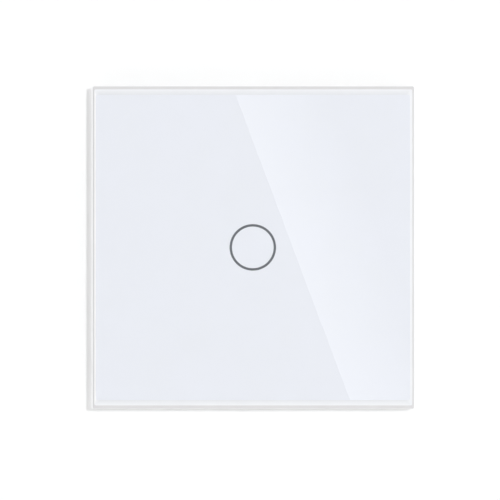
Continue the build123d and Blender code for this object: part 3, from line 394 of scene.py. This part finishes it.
# Circuit boards: the touch board behind the glass and the mains board deep in the box.
# Glass-fibre laminate under glossy green solder mask; copper tracks and poured areas show through
# as a lighter green, and tinned vias as bright dots. Tracks are drawn 0.4 mm wide, to show.
block_size, track_pitch, track_share = 0.0055, 0.0009, 0.45
weave_pitch, via_spacing, via_share = 0.0007, 0.0032, 0.1
level_from, slanted_from, poured_from = 0.45, 0.8, 0.62
mask, tree = start_material("glass fibre laminate under green solder mask")
place = add_node(tree, "ShaderNodeTexCoord").outputs["Object"]
flat = add_node(tree, "ShaderNodeMapping", {"Scale": (1, 0, 1)}, {"Vector": place})
blocks = add_node(
    tree, "ShaderNodeTexVoronoi", {"Scale": 1 / block_size, "distance": "CHEBYCHEV"},
    {"Vector": flat.outputs["Vector"]})
chance = add_node(tree, "ShaderNodeSeparateColor", None, {"Color": blocks.outputs["Color"]})
axes = add_node(tree, "ShaderNodeSeparateXYZ", None, {0: place})
slanted = add_node(
    tree, "ShaderNodeMath", {"operation": "ADD"}, {0: axes.outputs["X"], 1: axes.outputs["Z"]})
level_way = add_node(
    tree, "ShaderNodeMath", {"operation": "GREATER_THAN", 1: level_from}, {0: chance.outputs["Red"]})
slant_way = add_node(
    tree, "ShaderNodeMath", {"operation": "GREATER_THAN", 1: slanted_from}, {0: chance.outputs["Green"]})
straight = add_node(
    tree, "ShaderNodeMix", None, {0: level_way.outputs[0], 2: axes.outputs["X"], 3: axes.outputs["Z"]})
across = add_node(
    tree, "ShaderNodeMix", None, {0: slant_way.outputs[0], 2: straight.outputs[0], 3: slanted.outputs[0]})
in_pitches = add_node(
    tree, "ShaderNodeMath", {"operation": "MULTIPLY", 1: 1 / track_pitch}, {0: across.outputs[0]})
in_one = add_node(tree, "ShaderNodeMath", {"operation": "FRACT"}, {0: in_pitches.outputs[0]})
track = add_node(
    tree, "ShaderNodeMath", {"operation": "LESS_THAN", 1: track_share}, {0: in_one.outputs[0]})
poured = add_node(
    tree, "ShaderNodeMath", {"operation": "GREATER_THAN", 1: poured_from}, {0: chance.outputs["Blue"]})
copper = add_node(
    tree, "ShaderNodeMath", {"operation": "MAXIMUM"}, {0: track.outputs[0], 1: poured.outputs[0]})
weave = add_node(
    tree, "ShaderNodeTexNoise", {"Scale": 1 / weave_pitch, "Detail": 2.0}, {"Vector": place})
laid = add_node(
    tree, "ShaderNodeMix", {"data_type": "RGBA", 6: linear("#123f27"), 7: linear("#24663b")},
    {0: copper.outputs[0]})
speckled = add_node(
    tree, "ShaderNodeMix", {"data_type": "RGBA", "blend_type": "MULTIPLY", 7: linear("#e6efe6")},
    {0: weave.outputs["Fac"], 6: laid.outputs[2]})
raised = add_node(
    tree, "ShaderNodeBump", {"Strength": 0.4, "Distance": 0.00003}, {"Height": copper.outputs[0]})
skin = add_node(
    tree, "ShaderNodeBsdfPrincipled", {"Roughness": 0.28, "IOR": 1.52, "Coat Weight": 0.3},
    {"Base Color": speckled.outputs[2], "Normal": raised.outputs["Normal"]})
dots = add_node(
    tree, "ShaderNodeTexVoronoi", {"Scale": 1 / via_spacing, "Randomness": 0.8},
    {"Vector": flat.outputs["Vector"]})
via = add_node(
    tree, "ShaderNodeMath", {"operation": "LESS_THAN", 1: via_share}, {0: dots.outputs["Distance"]})
solder = add_node(
    tree, "ShaderNodeBsdfPrincipled", {"Base Color": linear("#c9cccb"), "Metallic": 1.0, "Roughness": 0.32})
printed = add_node(
    tree, "ShaderNodeMixShader", None,
    {0: via.outputs[0], 1: skin.outputs["BSDF"], 2: solder.outputs["BSDF"]})
add_node(tree, "ShaderNodeOutputMaterial", None, {"Surface": printed.outputs["Shader"]})
for board in ("touch_board", "power_board"):
    finish_node(board, mask)

# Parts on the touch board: sensing spring, light guide, lamps, chip, its leads and small parts.
# Drawn spring wire; clear moulded acrylic; lamps of cast yellow-white resin; chips of black
# epoxy with tinned leads, whose fine grain is drawn 0.4 mm to show.
spring_wire = plated_metal("spring steel, drawn and nickel flashed", "#cfcdc8", "#b9b7b2", 0.22, 0.0003)
tinned = plated_metal("copper, tinned", "#d8d9d8", "#c4c6c6", 0.3, 0.0005)
black_epoxy = moulded_plastic("epoxy, moulded black", "#242424", "#171717", 0.0004, 0.00003, 0.48, 0.002)
lamp_resin = moulded_plastic(
    "lamp resin, cast yellow white", "#efe6b4", "#e2d58f", 0.0004, 0.00001, 0.2, 0.001)
finish_node("touch_spring", spring_wire)
finish_node("chip_leads", tinned)
for part in ("touch_chip", "surface_parts", "link_header"):
    finish_node(part, black_epoxy)
finish_node("indicator_leds", lamp_resin)
finish_node("link_pins", rolled_brass)
flow_ripple = 0.002
acrylic, tree = start_material("acrylic, moulded clear")
place = add_node(tree, "ShaderNodeTexCoord").outputs["Object"]
ripple = add_node(tree, "ShaderNodeTexNoise", {"Scale": 1 / flow_ripple}, {"Vector": place})
flow = add_node(
    tree, "ShaderNodeBump", {"Strength": 0.2, "Distance": 0.00002}, {"Height": ripple.outputs["Fac"]})
clear = add_node(
    tree, "ShaderNodeBsdfPrincipled",
    {"Base Color": linear("#f6fafc"), "Roughness": 0.04, "IOR": 1.49, "Transmission Weight": 1.0},
    {"Normal": flow.outputs["Normal"]})
open_way = add_node(tree, "ShaderNodeBsdfTransparent", {"Color": linear("#f4f8fa")})
ray = add_node(tree, "ShaderNodeLightPath")
let_light = add_node(
    tree, "ShaderNodeMixShader", None,
    {0: ray.outputs["Is Shadow Ray"], 1: clear.outputs["BSDF"], 2: open_way.outputs["BSDF"]})
add_node(tree, "ShaderNodeOutputMaterial", None, {"Surface": let_light.outputs["Shader"]})
finish_node("light_guide", acrylic)

# Relay: a small sealed relay with its coil on the left and its contacts on the right.
# Blue moulded case, black base, white bobbin, soft-iron core, frame and armature with a nickel
# flash, brass contact springs. The moulded grains, under 0.2 mm, are drawn 0.4 mm to show.
blue_case = moulded_plastic(
    "polybutylene, moulded blue", "#24508f", "#1c4178", 0.0004, 0.00002, 0.3, 0.004, 0.2)
white_nylon = moulded_plastic("nylon, moulded white", "#ecebe6", "#dddcd6", 0.0004, 0.00002, 0.4)
soft_iron = plated_metal("soft iron, nickel flashed", "#b0aea9", "#98968f", 0.32, 0.0005, (0.2, 1, 1))
enamel_wire = plated_metal("copper wire, enamelled", "#c4713a", "#a85726", 0.24, 0.0004)
finish_node("relay_case", blue_case)
finish_node("relay_base", black_epoxy)
finish_node("relay_bobbin", white_nylon)
for part in ("relay_core", "relay_frame", "relay_armature"):
    finish_node(part, soft_iron)
for part in ("contact_blade", "fixed_contact"):
    finish_node(part, rolled_brass)

# The wound wire is a spiral along Z, swept with a round section. The relay's real wire is finer
# than a pixel, so its turns are drawn 0.3 mm thick.
turn_points, wire_sides = 30, 8
winding = bpy.data.node_groups.new("wound_wire", "GeometryNodeTree")
for title, kind in (
    ("Turns", "NodeSocketFloat"), ("Radius", "NodeSocketFloat"), ("Height", "NodeSocketFloat"),
    ("Wire Radius", "NodeSocketFloat"), ("Wire", "NodeSocketMaterial"),
):
    winding.interface.new_socket(title, in_out="INPUT", socket_type=kind)
winding.interface.new_socket("Coil", in_out="OUTPUT", socket_type="NodeSocketGeometry")
sizes_in = winding.nodes.new("NodeGroupInput").outputs
line = add_node(
    winding, "GeometryNodeCurveSpiral", {"Resolution": turn_points},
    {"Rotations": sizes_in["Turns"], "Start Radius": sizes_in["Radius"],
     "End Radius": sizes_in["Radius"], "Height": sizes_in["Height"]})
section = add_node(
    winding, "GeometryNodeCurvePrimitiveCircle", {"Resolution": wire_sides},
    {"Radius": sizes_in["Wire Radius"]})
swept = add_node(
    winding, "GeometryNodeCurveToMesh", {"Fill Caps": True},
    {"Curve": line.outputs["Curve"], "Profile Curve": section.outputs["Curve"]})
real = add_node(winding, "GeometryNodeRealizeInstances", None, {"Geometry": swept.outputs["Mesh"]})
clad = add_node(
    winding, "GeometryNodeSetMaterial", None,
    {"Geometry": real.outputs["Geometry"], "Material": sizes_in["Wire"]})
winding.links.new(clad.outputs["Geometry"], winding.nodes.new("NodeGroupOutput").inputs[0])


def wound(node, name, wire_radius):
    """A coil for a winding node: its own shape drawn in a little, under one layer of real turns."""
    low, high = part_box(node)
    centre_x, centre_z = (low[0] + high[0]) / 2, (low[2] + high[2]) / 2
    outside = (high[0] - low[0]) / 2
    inside = outside - 1.4 * wire_radius
    end_gap, turn_spacing = 1.1 * wire_radius, 2.05 * wire_radius
    height = high[1] - low[1] - 2 * end_gap
    piece = copy_of(node, name)
    turns = grown(winding, name + "_turns", {
        "Turns": math.floor(height / turn_spacing), "Radius": outside - wire_radius,
        "Height": height, "Wire Radius": wire_radius, "Wire": enamel_wire})
    shape = bmesh.new()
    shape.from_mesh(piece.data)
    for v in shape.verts:
        off_x, off_z = v.co.x - centre_x, v.co.z - centre_z
        reach = math.hypot(off_x, off_z)
        if reach > inside:
            v.co.x, v.co.z = centre_x + off_x * inside / reach, centre_z + off_z * inside / reach
    start = len(shape.verts)
    shape.from_mesh(turns)
    shape.verts.ensure_lookup_table()
    stand = Matrix.Translation((centre_x, low[1] + end_gap, centre_z))
    lay = stand @ Matrix.Rotation(-math.pi / 2, 4, "X")
    bmesh.ops.transform(shape, matrix=lay, verts=shape.verts[start:])
    shape.to_mesh(piece.data)
    shape.free()
    return dress(piece, enamel_wire, "wall_unit", [node], smooth=50.0)


wound("relay_winding", "enamelled_relay_winding", 0.00015)
wound("choke_winding", "enamelled_choke_winding", 0.00022)

# Mains parts: capacitors, choke core, varistor, fuse resistor, rectifier and regulator.
# Each has the finish of its kind: glossy yellow case, shrunk black sleeve, dull sintered ferrite,
# glossy blue dip, matt cement coat, black epoxy. Grains under 0.3 mm are drawn 0.4 or 0.5 mm.
yellow_case = moulded_plastic(
    "polyester box, moulded yellow", "#e4b733", "#d3a526", 0.0004, 0.00002, 0.3, 0.004, 0.2)
black_sleeve = moulded_plastic(
    "vinyl sleeve, shrunk black", "#26272b", "#1b1c20", 0.0006, 0.00002, 0.26, 0.004)
ferrite = moulded_plastic("ferrite, sintered grey", "#45454a", "#343438", 0.0004, 0.00005, 0.62, 0.002)
blue_dip = moulded_plastic(
    "epoxy, dipped blue", "#2a62ab", "#1f5194", 0.0008, 0.00003, 0.24, 0.003, 0.3)
cement = moulded_plastic(
    "ceramic, cement coated", "#ddd3b2", "#cabf9b", 0.0005, 0.00006, 0.66, 0.003)
finish_node("film_capacitor", yellow_case)
finish_node("smoothing_capacitor", black_sleeve)
finish_node("choke_core", ferrite)
finish_node("varistor", blue_dip)
finish_node("fuse_resistor", cement)
finish_node("bridge_rectifier", black_epoxy)
finish_node("voltage_regulator", black_epoxy)

# Mounting yoke: the steel plate that clamps the back box to the wall.
# One millimetre strip, zinc plated, pressed and pierced; the rolling grain runs up and down
# and the pierced edges are a little round.
yoke = eased(copy_of("mounting_yoke", "pressed_mounting_yoke"), 0.00012)
dress(yoke, rolled_zinc, "wall_unit", ["mounting_yoke"])

# Front cover: the shallow white lid over the electronics, clamped by the case screws.
# ABS, moulded in a finely etched tool, so it has a soft sheen. The real etching is too fine to
# show from a step away, so its grain is drawn 0.4 mm.
white_abs = moulded_plastic("ABS, moulded white", "#f1f2f1", "#e8e9e9", 0.0004, 0.00006, 0.4, 0.008)
cover = eased(copy_of("front_cover", "moulded_front_cover"), 0.00015)
dress(cover, white_abs, "wall_unit", ["front_cover"])

# Screws: two into the wall box, four for the case, four for the boards.
# Steel, bright zinc plated, with rolled threads and slotted cross recesses. The heads keep the
# shape of the solids; the box and case screws' shanks are threaded bars.
fixing_half, box_reach, box_stub_end = 0.030, 0.022, 0.0003
box_bar = grown(thread, "box_screw_thread", {
    "Root Radius": 0.00138, "Crest Radius": 0.00175, "Pitch": 0.0008, "Length": box_reach,
    "Point Length": 0.0012, "Metal": bright_zinc})
box_screws = copy_of("box_screws", "zinc_box_screws")
threaded(
    box_screws, box_stub_end, box_bar,
    [(side * fixing_half, box_reach / 2, 0.0) for side in (-1, 1)], -1)
dress(box_screws, bright_zinc, "wall_unit", ["box_screws"])

case_head_radius, case_neck, case_stub = 0.0022, 0.0012, 0.0016
case_low, case_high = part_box("case_screws")
case_place = case_high[0] - case_head_radius
case_shank = case_high[1] - case_low[1] - case_neck
case_bar = grown(thread, "case_screw_thread", {
    "Root Radius": 0.00092, "Crest Radius": 0.00125, "Pitch": 0.0009, "Length": case_shank,
    "Point Length": 0.0012, "Metal": bright_zinc})
case_screws = copy_of("case_screws", "zinc_case_screws")
case_middle = case_high[1] - case_shank / 2
threaded(
    case_screws, case_low[1] + case_stub, case_bar,
    [(x * case_place, case_middle, z * case_place) for x in (-1, 1) for z in (-1, 1)], -1)
dress(case_screws, bright_zinc, "wall_unit", ["case_screws"])
finish_node("board_screws", bright_zinc)

# Panel holder: the white frame bonded to the glass, whose skirt snaps over the yoke.
# The same moulded ABS as the front cover, with the same soft sheen and slightly round edges.
holder = eased(copy_of("panel_holder", "moulded_panel_holder"), 0.00014)
dress(holder, white_abs, "panel", ["panel_holder"])

# Bonding tape: four strips of white acrylic foam between glass and holder.
# Closed-cell foam, cut with a die, so its faces are matt and finely porous. Its real pores are
# 0.1 mm, too fine to show, so they are drawn 0.5 mm.
foam = moulded_plastic(
    "acrylic foam tape, die cut white", "#e6e7e9", "#d6d7da", 0.0005, 0.00008, 0.85, 0.002)
finish_node("bonding_tape", foam)

# Print: the white field and disc fired on the rear of the glass, with the ring left open.
# Screen-printed ceramic colour, matt and even. It lies in the glass's rear skin, so its front
# stands a hair inside the glass. The screen's 0.15 mm mesh marks are drawn 0.5 mm.
bond, mottle_size, mesh_mark = 0.00002, 0.011, 0.0005
frit, tree = start_material("ceramic colour, screen printed and fired cool white")
place = add_node(tree, "ShaderNodeTexCoord").outputs["Object"]
mottle = add_node(
    tree, "ShaderNodeTexNoise", {"Scale": 1 / mottle_size, "Detail": 3.0}, {"Vector": place})
colour = add_node(
    tree, "ShaderNodeMix", {"data_type": "RGBA", 6: linear("#e5e8ee"), 7: linear("#e7eaf2")},
    {0: mottle.outputs["Fac"]})
mesh_marks = add_node(tree, "ShaderNodeTexNoise", {"Scale": 1 / mesh_mark}, {"Vector": place})
bump = add_node(
    tree, "ShaderNodeBump", {"Strength": 0.15, "Distance": 0.000004},
    {"Height": mesh_marks.outputs["Fac"]})
skin = add_node(
    tree, "ShaderNodeBsdfPrincipled", {"Roughness": 0.7, "Specular IOR Level": 0.1},
    {"Base Color": colour.outputs[2], "Normal": bump.outputs["Normal"]})
add_node(tree, "ShaderNodeOutputMaterial", None, {"Surface": skin.outputs["BSDF"]})


def pressed_into_glass(node, name, material):
    """A copy of a printed layer whose front faces stand the bond's depth inside the glass."""
    layer = copy_of(node, name)
    front_face = min(v.co.y for v in layer.data.vertices)
    for v in layer.data.vertices:
        if v.co.y < front_face + bond:
            v.co.y -= bond
    return dress(layer, material, "panel", [node])


white_print = pressed_into_glass("back_print", "fired_white_print", frit)

# Ring: the smoke-grey window round the touch point, lit from behind in the dark.
# A translucent grey print in the gap of the white one, unlit by day, so it reads as a thin
# dark grey line.
smoke_mottle = 0.0014
smoke, tree = start_material("translucent colour, screen printed smoke grey")
place = add_node(tree, "ShaderNodeTexCoord").outputs["Object"]
mottle = add_node(
    tree, "ShaderNodeTexNoise", {"Scale": 1 / smoke_mottle, "Detail": 2.0}, {"Vector": place})
colour = add_node(
    tree, "ShaderNodeMix", {"data_type": "RGBA", 6: linear("#5e6268"), 7: linear("#64686e")},
    {0: mottle.outputs["Fac"]})
skin = add_node(
    tree, "ShaderNodeBsdfPrincipled", {"Roughness": 0.5, "Specular IOR Level": 0.1},
    {"Base Color": colour.outputs[2]})
add_node(tree, "ShaderNodeOutputMaterial", None, {"Surface": skin.outputs["BSDF"]})
ring_window = pressed_into_glass("ring_window", "smoke_ring_window", smoke)

# Glass panel: four millimetre toughened clear glass, the face of the switch.
# Polished float faces; sides ground clear; a front edge ground back in three lands: a matt outer arris, a
# middle land painted grey as shade, and an inner land painted white as a highlight on the left and paler
# outwards as shade elsewhere. The wheel's 0.1 mm grit is drawn 0.4 mm.
panel_half = 0.040
front = -0.010
corner, corner_steps = 0.0004, 6
grit, float_wave = 0.0004, 0.04
fine, grey, arris, side, wide = 1, 2, 3, 4, 5
# Each ring: how far it stands in from the left, right, top and bottom, and its depth.
rings = [
    (0.00110, 0.00110, 0.00220, 0.00220, 0.0),
    (0.00075, 0.00052, 0.00085, 0.00085, 0.00014),
    (0.00032, 0.00006, 0.00012, 0.00006, 0.00045),
    (0.0, 0.0, 0.0, 0.0, 0.00051),
    (0.0, 0.0, 0.0, 0.0, 0.0037),
    (0.0003, 0.0003, 0.0003, 0.0003, 0.004),
]
lands = [fine, grey, arris, side, side]
glass = new_piece("ground_glass_panel")
shape = bmesh.new()
loops = []
for from_left, from_right, from_top, from_bottom, depth in rings:
    loop = []
    low_x, high_x = from_left + corner - panel_half, panel_half - from_right - corner
    low_z, high_z = from_bottom + corner - panel_half, panel_half - from_top - corner
    corners = ((high_x, high_z), (low_x, high_z), (low_x, low_z), (high_x, low_z))
    for quarter, (x, z) in enumerate(corners):
        for step in range(corner_steps + 1):
            angle = math.pi / 2 * (quarter + step / corner_steps)
            loop.append(shape.verts.new((
                x + corner * math.cos(angle), front + depth, z + corner * math.sin(angle))))
    loops.append(loop)
count = len(loops[0])
for outer, inner in zip(loops, loops[1:]):
    for i in range(count):
        shape.faces.new((outer[i], outer[(i + 1) % count], inner[(i + 1) % count], inner[i]))
shape.faces.new(loops[0])
shape.faces.new(loops[-1])
bmesh.ops.recalc_face_normals(shape, faces=shape.faces)
shape.to_mesh(glass.data)
shape.free()


def let_out(tree, surface, outside):
    """Lets shadow and diffuse rays through a face: always, or only on their way out of the glass."""
    ray = add_node(tree, "ShaderNodeLightPath")
    unseen = add_node(
        tree, "ShaderNodeMath", {"operation": "MAXIMUM"},
        {0: ray.outputs["Is Shadow Ray"], 1: ray.outputs["Is Diffuse Ray"]})
    facing = add_node(tree, "ShaderNodeNewGeometry")
    either = add_node(
        tree, "ShaderNodeMath", {"operation": "MAXIMUM", 1: outside}, {0: facing.outputs["Backfacing"]})
    passes = add_node(
        tree, "ShaderNodeMath", {"operation": "MULTIPLY"}, {0: unseen.outputs[0], 1: either.outputs[0]})
    open_way = add_node(tree, "ShaderNodeBsdfTransparent")
    mixed = add_node(
        tree, "ShaderNodeMixShader", None,
        {0: passes.outputs[0], 1: surface, 2: open_way.outputs["BSDF"]})
    add_node(tree, "ShaderNodeOutputMaterial", None, {"Surface": mixed.outputs["Shader"]})


def clear_glass(name, tint, roughness, outside):
    """Soda-lime glass with a faint wave; outside is 1 where lamp light also comes in."""
    material, tree = start_material(name)
    place = add_node(tree, "ShaderNodeTexCoord").outputs["Object"]
    waves = add_node(
        tree, "ShaderNodeTexNoise", {"Scale": 1 / float_wave, "Detail": 1.0}, {"Vector": place})
    bump = add_node(
        tree, "ShaderNodeBump", {"Strength": 0.02, "Distance": 0.00002}, {"Height": waves.outputs["Fac"]})
    skin = add_node(
        tree, "ShaderNodeBsdfPrincipled",
        {"Base Color": linear(tint), "Roughness": roughness, "IOR": 1.52, "Transmission Weight": 1.0},
        {"Normal": bump.outputs["Normal"]})
    let_out(tree, skin.outputs["BSDF"], outside)
    return material


def ground_land(name, pale, dark, roughness):
    """A matt land that a grinding wheel leaves, in the two colours given."""
    material = moulded_plastic(name, pale, dark, grit, 0.000004, roughness, 0.004, 0.0, 1.52)
    tree = material.node_tree
    tree.nodes.remove(next(n for n in tree.nodes if n.bl_idname == "ShaderNodeOutputMaterial"))
    skin = next(n for n in tree.nodes if n.bl_idname == "ShaderNodeBsdfPrincipled")
    let_out(tree, skin.outputs["BSDF"], 0.0)
    return material


float_face = clear_glass("soda lime glass, polished float face", "#ffffff", 0.0, 1.0)
ground_side = clear_glass("soda lime glass, ground and half polished side", "#e6f1ec", 0.12, 0.0)
# The fine land is painted white as a highlight; only the left land gets it.
left_land_painted_highlight = ground_land("soda lime glass, bevel ground, painted highlight", "#ffffff", "#fcfdfe", 0.3)
# The grey land is painted grey as shade, for the dark line along the bevel.
grey_land_painted_shade = ground_land("soda lime glass, bevel land, painted shade grey", "#dfdedf", "#d9d8da", 0.45)
outer_arris = ground_land("soda lime glass, arris ground matt", "#fdfdfe", "#fafafb", 0.4)

# The wide land of the right, top and bottom is painted duller than the left and paler outwards: painted
# shade, darker inwards.
wide_land = ground_land("soda lime glass, wide bevel ground, painted shade", "#f2f4f7", "#eef0f3", 0.3)
tree = wide_land.node_tree
skin = next(n for n in tree.nodes if n.bl_idname == "ShaderNodeBsdfPrincipled")
even_colour = skin.inputs["Base Color"].links[0].from_socket
place = add_node(tree, "ShaderNodeTexCoord").outputs["Object"]
axes = add_node(tree, "ShaderNodeSeparateXYZ", None, {0: place})
reach_x = add_node(tree, "ShaderNodeMath", {"operation": "ABSOLUTE"}, {0: axes.outputs["X"]})
reach_z = add_node(tree, "ShaderNodeMath", {"operation": "ABSOLUTE"}, {0: axes.outputs["Z"]})
from_middle = add_node(
    tree, "ShaderNodeMath", {"operation": "MAXIMUM"}, {0: reach_x.outputs[0], 1: reach_z.outputs[0]})
outward = add_node(
    tree, "ShaderNodeMapRange",
    {"From Min": panel_half - rings[0][3], "From Max": panel_half - rings[1][3]},
    {"Value": from_middle.outputs[0]})
painted_shade_ramp = add_node(
    tree, "ShaderNodeMix", {"data_type": "RGBA", 6: linear("#f0f0f1"), 7: linear("#ffffff")},
    {0: outward.outputs["Result"]})
paled = add_node(
    tree, "ShaderNodeMix", {"data_type": "RGBA", "blend_type": "MULTIPLY", 0: 1.0},
    {6: even_colour, 7: painted_shade_ramp.outputs[2]})
tree.links.new(paled.outputs[2], skin.inputs["Base Color"])

# Shading is smooth only under 4 degrees, less than the wide land's tilt, so the float face stays
# flat and mirrors straight. The left land, painted white as a highlight, leans to -X.
dress(glass, float_face, "panel", ["glass_panel"], smooth=4.0)
for land in (left_land_painted_highlight, grey_land_painted_shade, outer_arris, ground_side, wide_land):
    glass.data.materials.append(land)
left_margin = 0.05
for number, face in enumerate(glass.data.polygons):
    face.material_index = lands[number // count] if number // count < len(lands) else 0
    if face.material_index == fine and -face.normal.x < abs(face.normal.z) + left_margin:
        face.material_index = wide

# Stage: a white wall with the round hole of the wall box, and a pale floor well below.
# The wall is seen from the room side only, so the back of the switch can be looked at from
# behind it. To the camera it is white paint, and it keeps the panel's shadow.
hole_radius, hole_steps, wall_half, wall_gap = 0.034, 96, 1.5, 0.0001
floor_half, floor_level = 3.0, -0.5
wall = new_piece("wall")
shape = bmesh.new()
inner, outer = [], []
for step in range(hole_steps):
    angle = 2 * math.pi * step / hole_steps
    x, z = math.cos(angle), math.sin(angle)
    reach = wall_half / max(abs(x), abs(z))
    inner.append(shape.verts.new((hole_radius * x, wall_gap, hole_radius * z)))
    outer.append(shape.verts.new((reach * x, wall_gap, reach * z)))
for i in range(hole_steps):
    j = (i + 1) % hole_steps
    shape.faces.new((inner[i], outer[i], outer[j], inner[j]))
shape.to_mesh(wall.data)
shape.free()


def stage_paint(name, tone, glow):
    """White paint, seen from its front alone; the camera, gloss and glass see it as plain white."""
    material, tree = start_material(name)
    ray = add_node(tree, "ShaderNodeLightPath")
    seen = add_node(
        tree, "ShaderNodeMath", {"operation": "MAXIMUM"},
        {0: ray.outputs["Is Camera Ray"], 1: ray.outputs["Is Glossy Ray"]})
    seen = add_node(
        tree, "ShaderNodeMath", {"operation": "MAXIMUM"},
        {0: seen.outputs[0], 1: ray.outputs["Is Transmission Ray"]})
    lit = add_node(tree, "ShaderNodeBsdfDiffuse", {"Color": (0.85, 0.85, 0.85, 1)})
    lit_seen = add_node(tree, "ShaderNodeBsdfDiffuse", {"Color": (tone, tone, tone, 1)})
    shine = add_node(tree, "ShaderNodeEmission", {"Color": (1, 1, 1, 1), "Strength": glow})
    bright = add_node(
        tree, "ShaderNodeAddShader", None, {0: lit_seen.outputs["BSDF"], 1: shine.outputs["Emission"]})
    shown = add_node(
        tree, "ShaderNodeMixShader", None,
        {0: seen.outputs[0], 1: lit.outputs["BSDF"], 2: bright.outputs["Shader"]})
    facing = add_node(tree, "ShaderNodeNewGeometry")
    through = add_node(tree, "ShaderNodeBsdfTransparent")
    one_sided = add_node(
        tree, "ShaderNodeMixShader", None,
        {0: facing.outputs["Backfacing"], 1: shown.outputs["Shader"], 2: through.outputs["BSDF"]})
    add_node(tree, "ShaderNodeOutputMaterial", None, {"Surface": one_sided.outputs["Shader"]})
    return material


wall.data.materials.append(stage_paint("white wall paint", 0.70, 0.32))
wall.visible_glossy = False

floor = new_piece("floor")
floor.data.from_pydata(
    [(x * floor_half, y * floor_half, floor_level) for x, y in ((-1, -1), (1, -1), (1, 1), (-1, 1))],
    [], [(0, 1, 2, 3)])
floor.data.materials.append(stage_paint("white floor paint", 0.45, 0.72))

# Light: an even white room, a small key lamp from the upper right, two soft lamps behind.
# The key's shadow falls to the lower left as a narrow band. The lamps behind pass the wall and
# light only the wall unit. The camera, gloss and clear materials see the room as white.
bright_way, dim_side, bright_side = (0.35, 0.0, 0.94), 0.31, 0.71
world = bpy.data.worlds.new("white room")
bpy.context.scene.world = world
world.use_nodes = True
tree = world.node_tree
tree.nodes.clear()
ray = add_node(tree, "ShaderNodeLightPath")
seen = add_node(
    tree, "ShaderNodeMath", {"operation": "MAXIMUM"},
    {0: ray.outputs["Is Camera Ray"], 1: ray.outputs["Is Glossy Ray"]})
seen = add_node(
    tree, "ShaderNodeMath", {"operation": "MAXIMUM"},
    {0: seen.outputs[0], 1: ray.outputs["Is Transmission Ray"]})
way = add_node(tree, "ShaderNodeTexCoord")
rise = add_node(
    tree, "ShaderNodeVectorMath", {"operation": "DOT_PRODUCT", 1: bright_way},
    {0: way.outputs["Generated"]})
ambient = add_node(
    tree, "ShaderNodeMapRange", {"From Min": -1.0, "To Min": dim_side, "To Max": bright_side},
    {"Value": rise.outputs["Value"]})
room = add_node(
    tree, "ShaderNodeMix", {3: 1.0}, {0: seen.outputs[0], 2: ambient.outputs["Result"]})
sky = add_node(tree, "ShaderNodeBackground", {"Color": (1, 1, 1, 1)}, {"Strength": room.outputs[0]})
add_node(tree, "ShaderNodeOutputWorld", None, {"Surface": sky.outputs["Background"]})

past_wall = bpy.data.collections.new("let back lamps by")
room_side = bpy.data.collections.new("unlit by back lamps")
for group, members in (
    (past_wall, (wall, floor)), (room_side, (wall, floor, glass, white_print, ring_window, holder)),
):
    for number, member in enumerate(members):
        group.objects.link(member)
        group.collection_objects[number].light_linking.link_state = "EXCLUDE"
for name, direction, distance, size, power in (
    ("key", (0.148, -1.0, 0.07), 1.6, 0.07, 10.0),
    ("back_left", (-0.6, 0.8, 0.5), 1.4, 0.5, 9.0),
    ("back_right", (0.7, 0.6, 0.3), 1.4, 0.5, 5.0),
):
    lamp = bpy.data.lights.new(name, "AREA")
    lamp.energy = power
    lamp.size = size
    lamp_object = bpy.data.objects.new(name, lamp)
    bpy.context.scene.collection.objects.link(lamp_object)
    way = Vector(direction).normalized()
    lamp_object.location = way * distance
    lamp_object.rotation_mode = "QUATERNION"
    lamp_object.rotation_quaternion = way.to_track_quat("Z", "Y")
    lamp_object.visible_camera = False
    lamp_object.visible_glossy = name != "key"
    lamp_object.visible_transmission = False
    if name != "key":
        lamp_object.light_linking.blocker_collection = past_wall
        lamp_object.light_linking.receiver_collection = room_side

# Reflector: a pale card behind the camera that only gloss can see.
# Its slanted left edge gives the slanted border across the panel's face, and its glow falls off
# to the right.
card_y, card_half, card_width, edge_glow = -1.6, 0.45, 0.06, 1.3
upper_x, upper_z = -0.0115, 0.103
lower_x, lower_z = 0.0648, -0.1005
slope = (upper_x - lower_x) / (upper_z - lower_z)
foot_x, head_x = [upper_x + slope * (z - upper_z) for z in (-card_half, card_half)]
card = new_piece("reflector")
card.data.from_pydata(
    [(foot_x, card_y, -card_half), (foot_x + card_width, card_y, -card_half),
     (head_x + card_width, card_y, card_half), (head_x, card_y, card_half)], [], [(0, 1, 2, 3)])
strength = card.data.attributes.new("glow", "FLOAT", "POINT")
strength.data.foreach_set("value", [edge_glow, 0.0, 0.0, edge_glow])
card_skin, tree = start_material("reflector card")
ray = add_node(tree, "ShaderNodeLightPath")
glow = add_node(tree, "ShaderNodeAttribute", {"attribute_name": "glow"})
power = add_node(
    tree, "ShaderNodeMath", {"operation": "MULTIPLY"},
    {0: glow.outputs["Fac"], 1: ray.outputs["Is Glossy Ray"]})
shine = add_node(tree, "ShaderNodeEmission", {"Color": (1, 1, 1, 1)}, {"Strength": power.outputs[0]})
through = add_node(tree, "ShaderNodeBsdfTransparent")
both = add_node(
    tree, "ShaderNodeAddShader", None, {0: shine.outputs["Emission"], 1: through.outputs["BSDF"]})
add_node(tree, "ShaderNodeOutputMaterial", None, {"Surface": both.outputs["Shader"]})
card.data.materials.append(card_skin)
card.visible_camera = False
card.visible_diffuse = False
card.visible_shadow = False

# Camera: square on to the wall, a metre away, with a long lens, as the photograph was taken.
# 500 pixels span 123.8 mm at the glass.
camera_data = bpy.data.cameras.new("camera")
camera = bpy.data.objects.new("camera", camera_data)
bpy.context.scene.collection.objects.link(camera)
bpy.context.scene.camera = camera
camera_data.sensor_width = 36.0
camera_data.lens = 290.7
camera_data.clip_start = 0.05
camera_data.clip_end = 20.0
camera.location = (-0.00070, -1.010, -0.00065)
camera.rotation_euler = (math.pi / 2, 0, 0)
bpy.context.scene.view_settings.view_transform = "Standard"
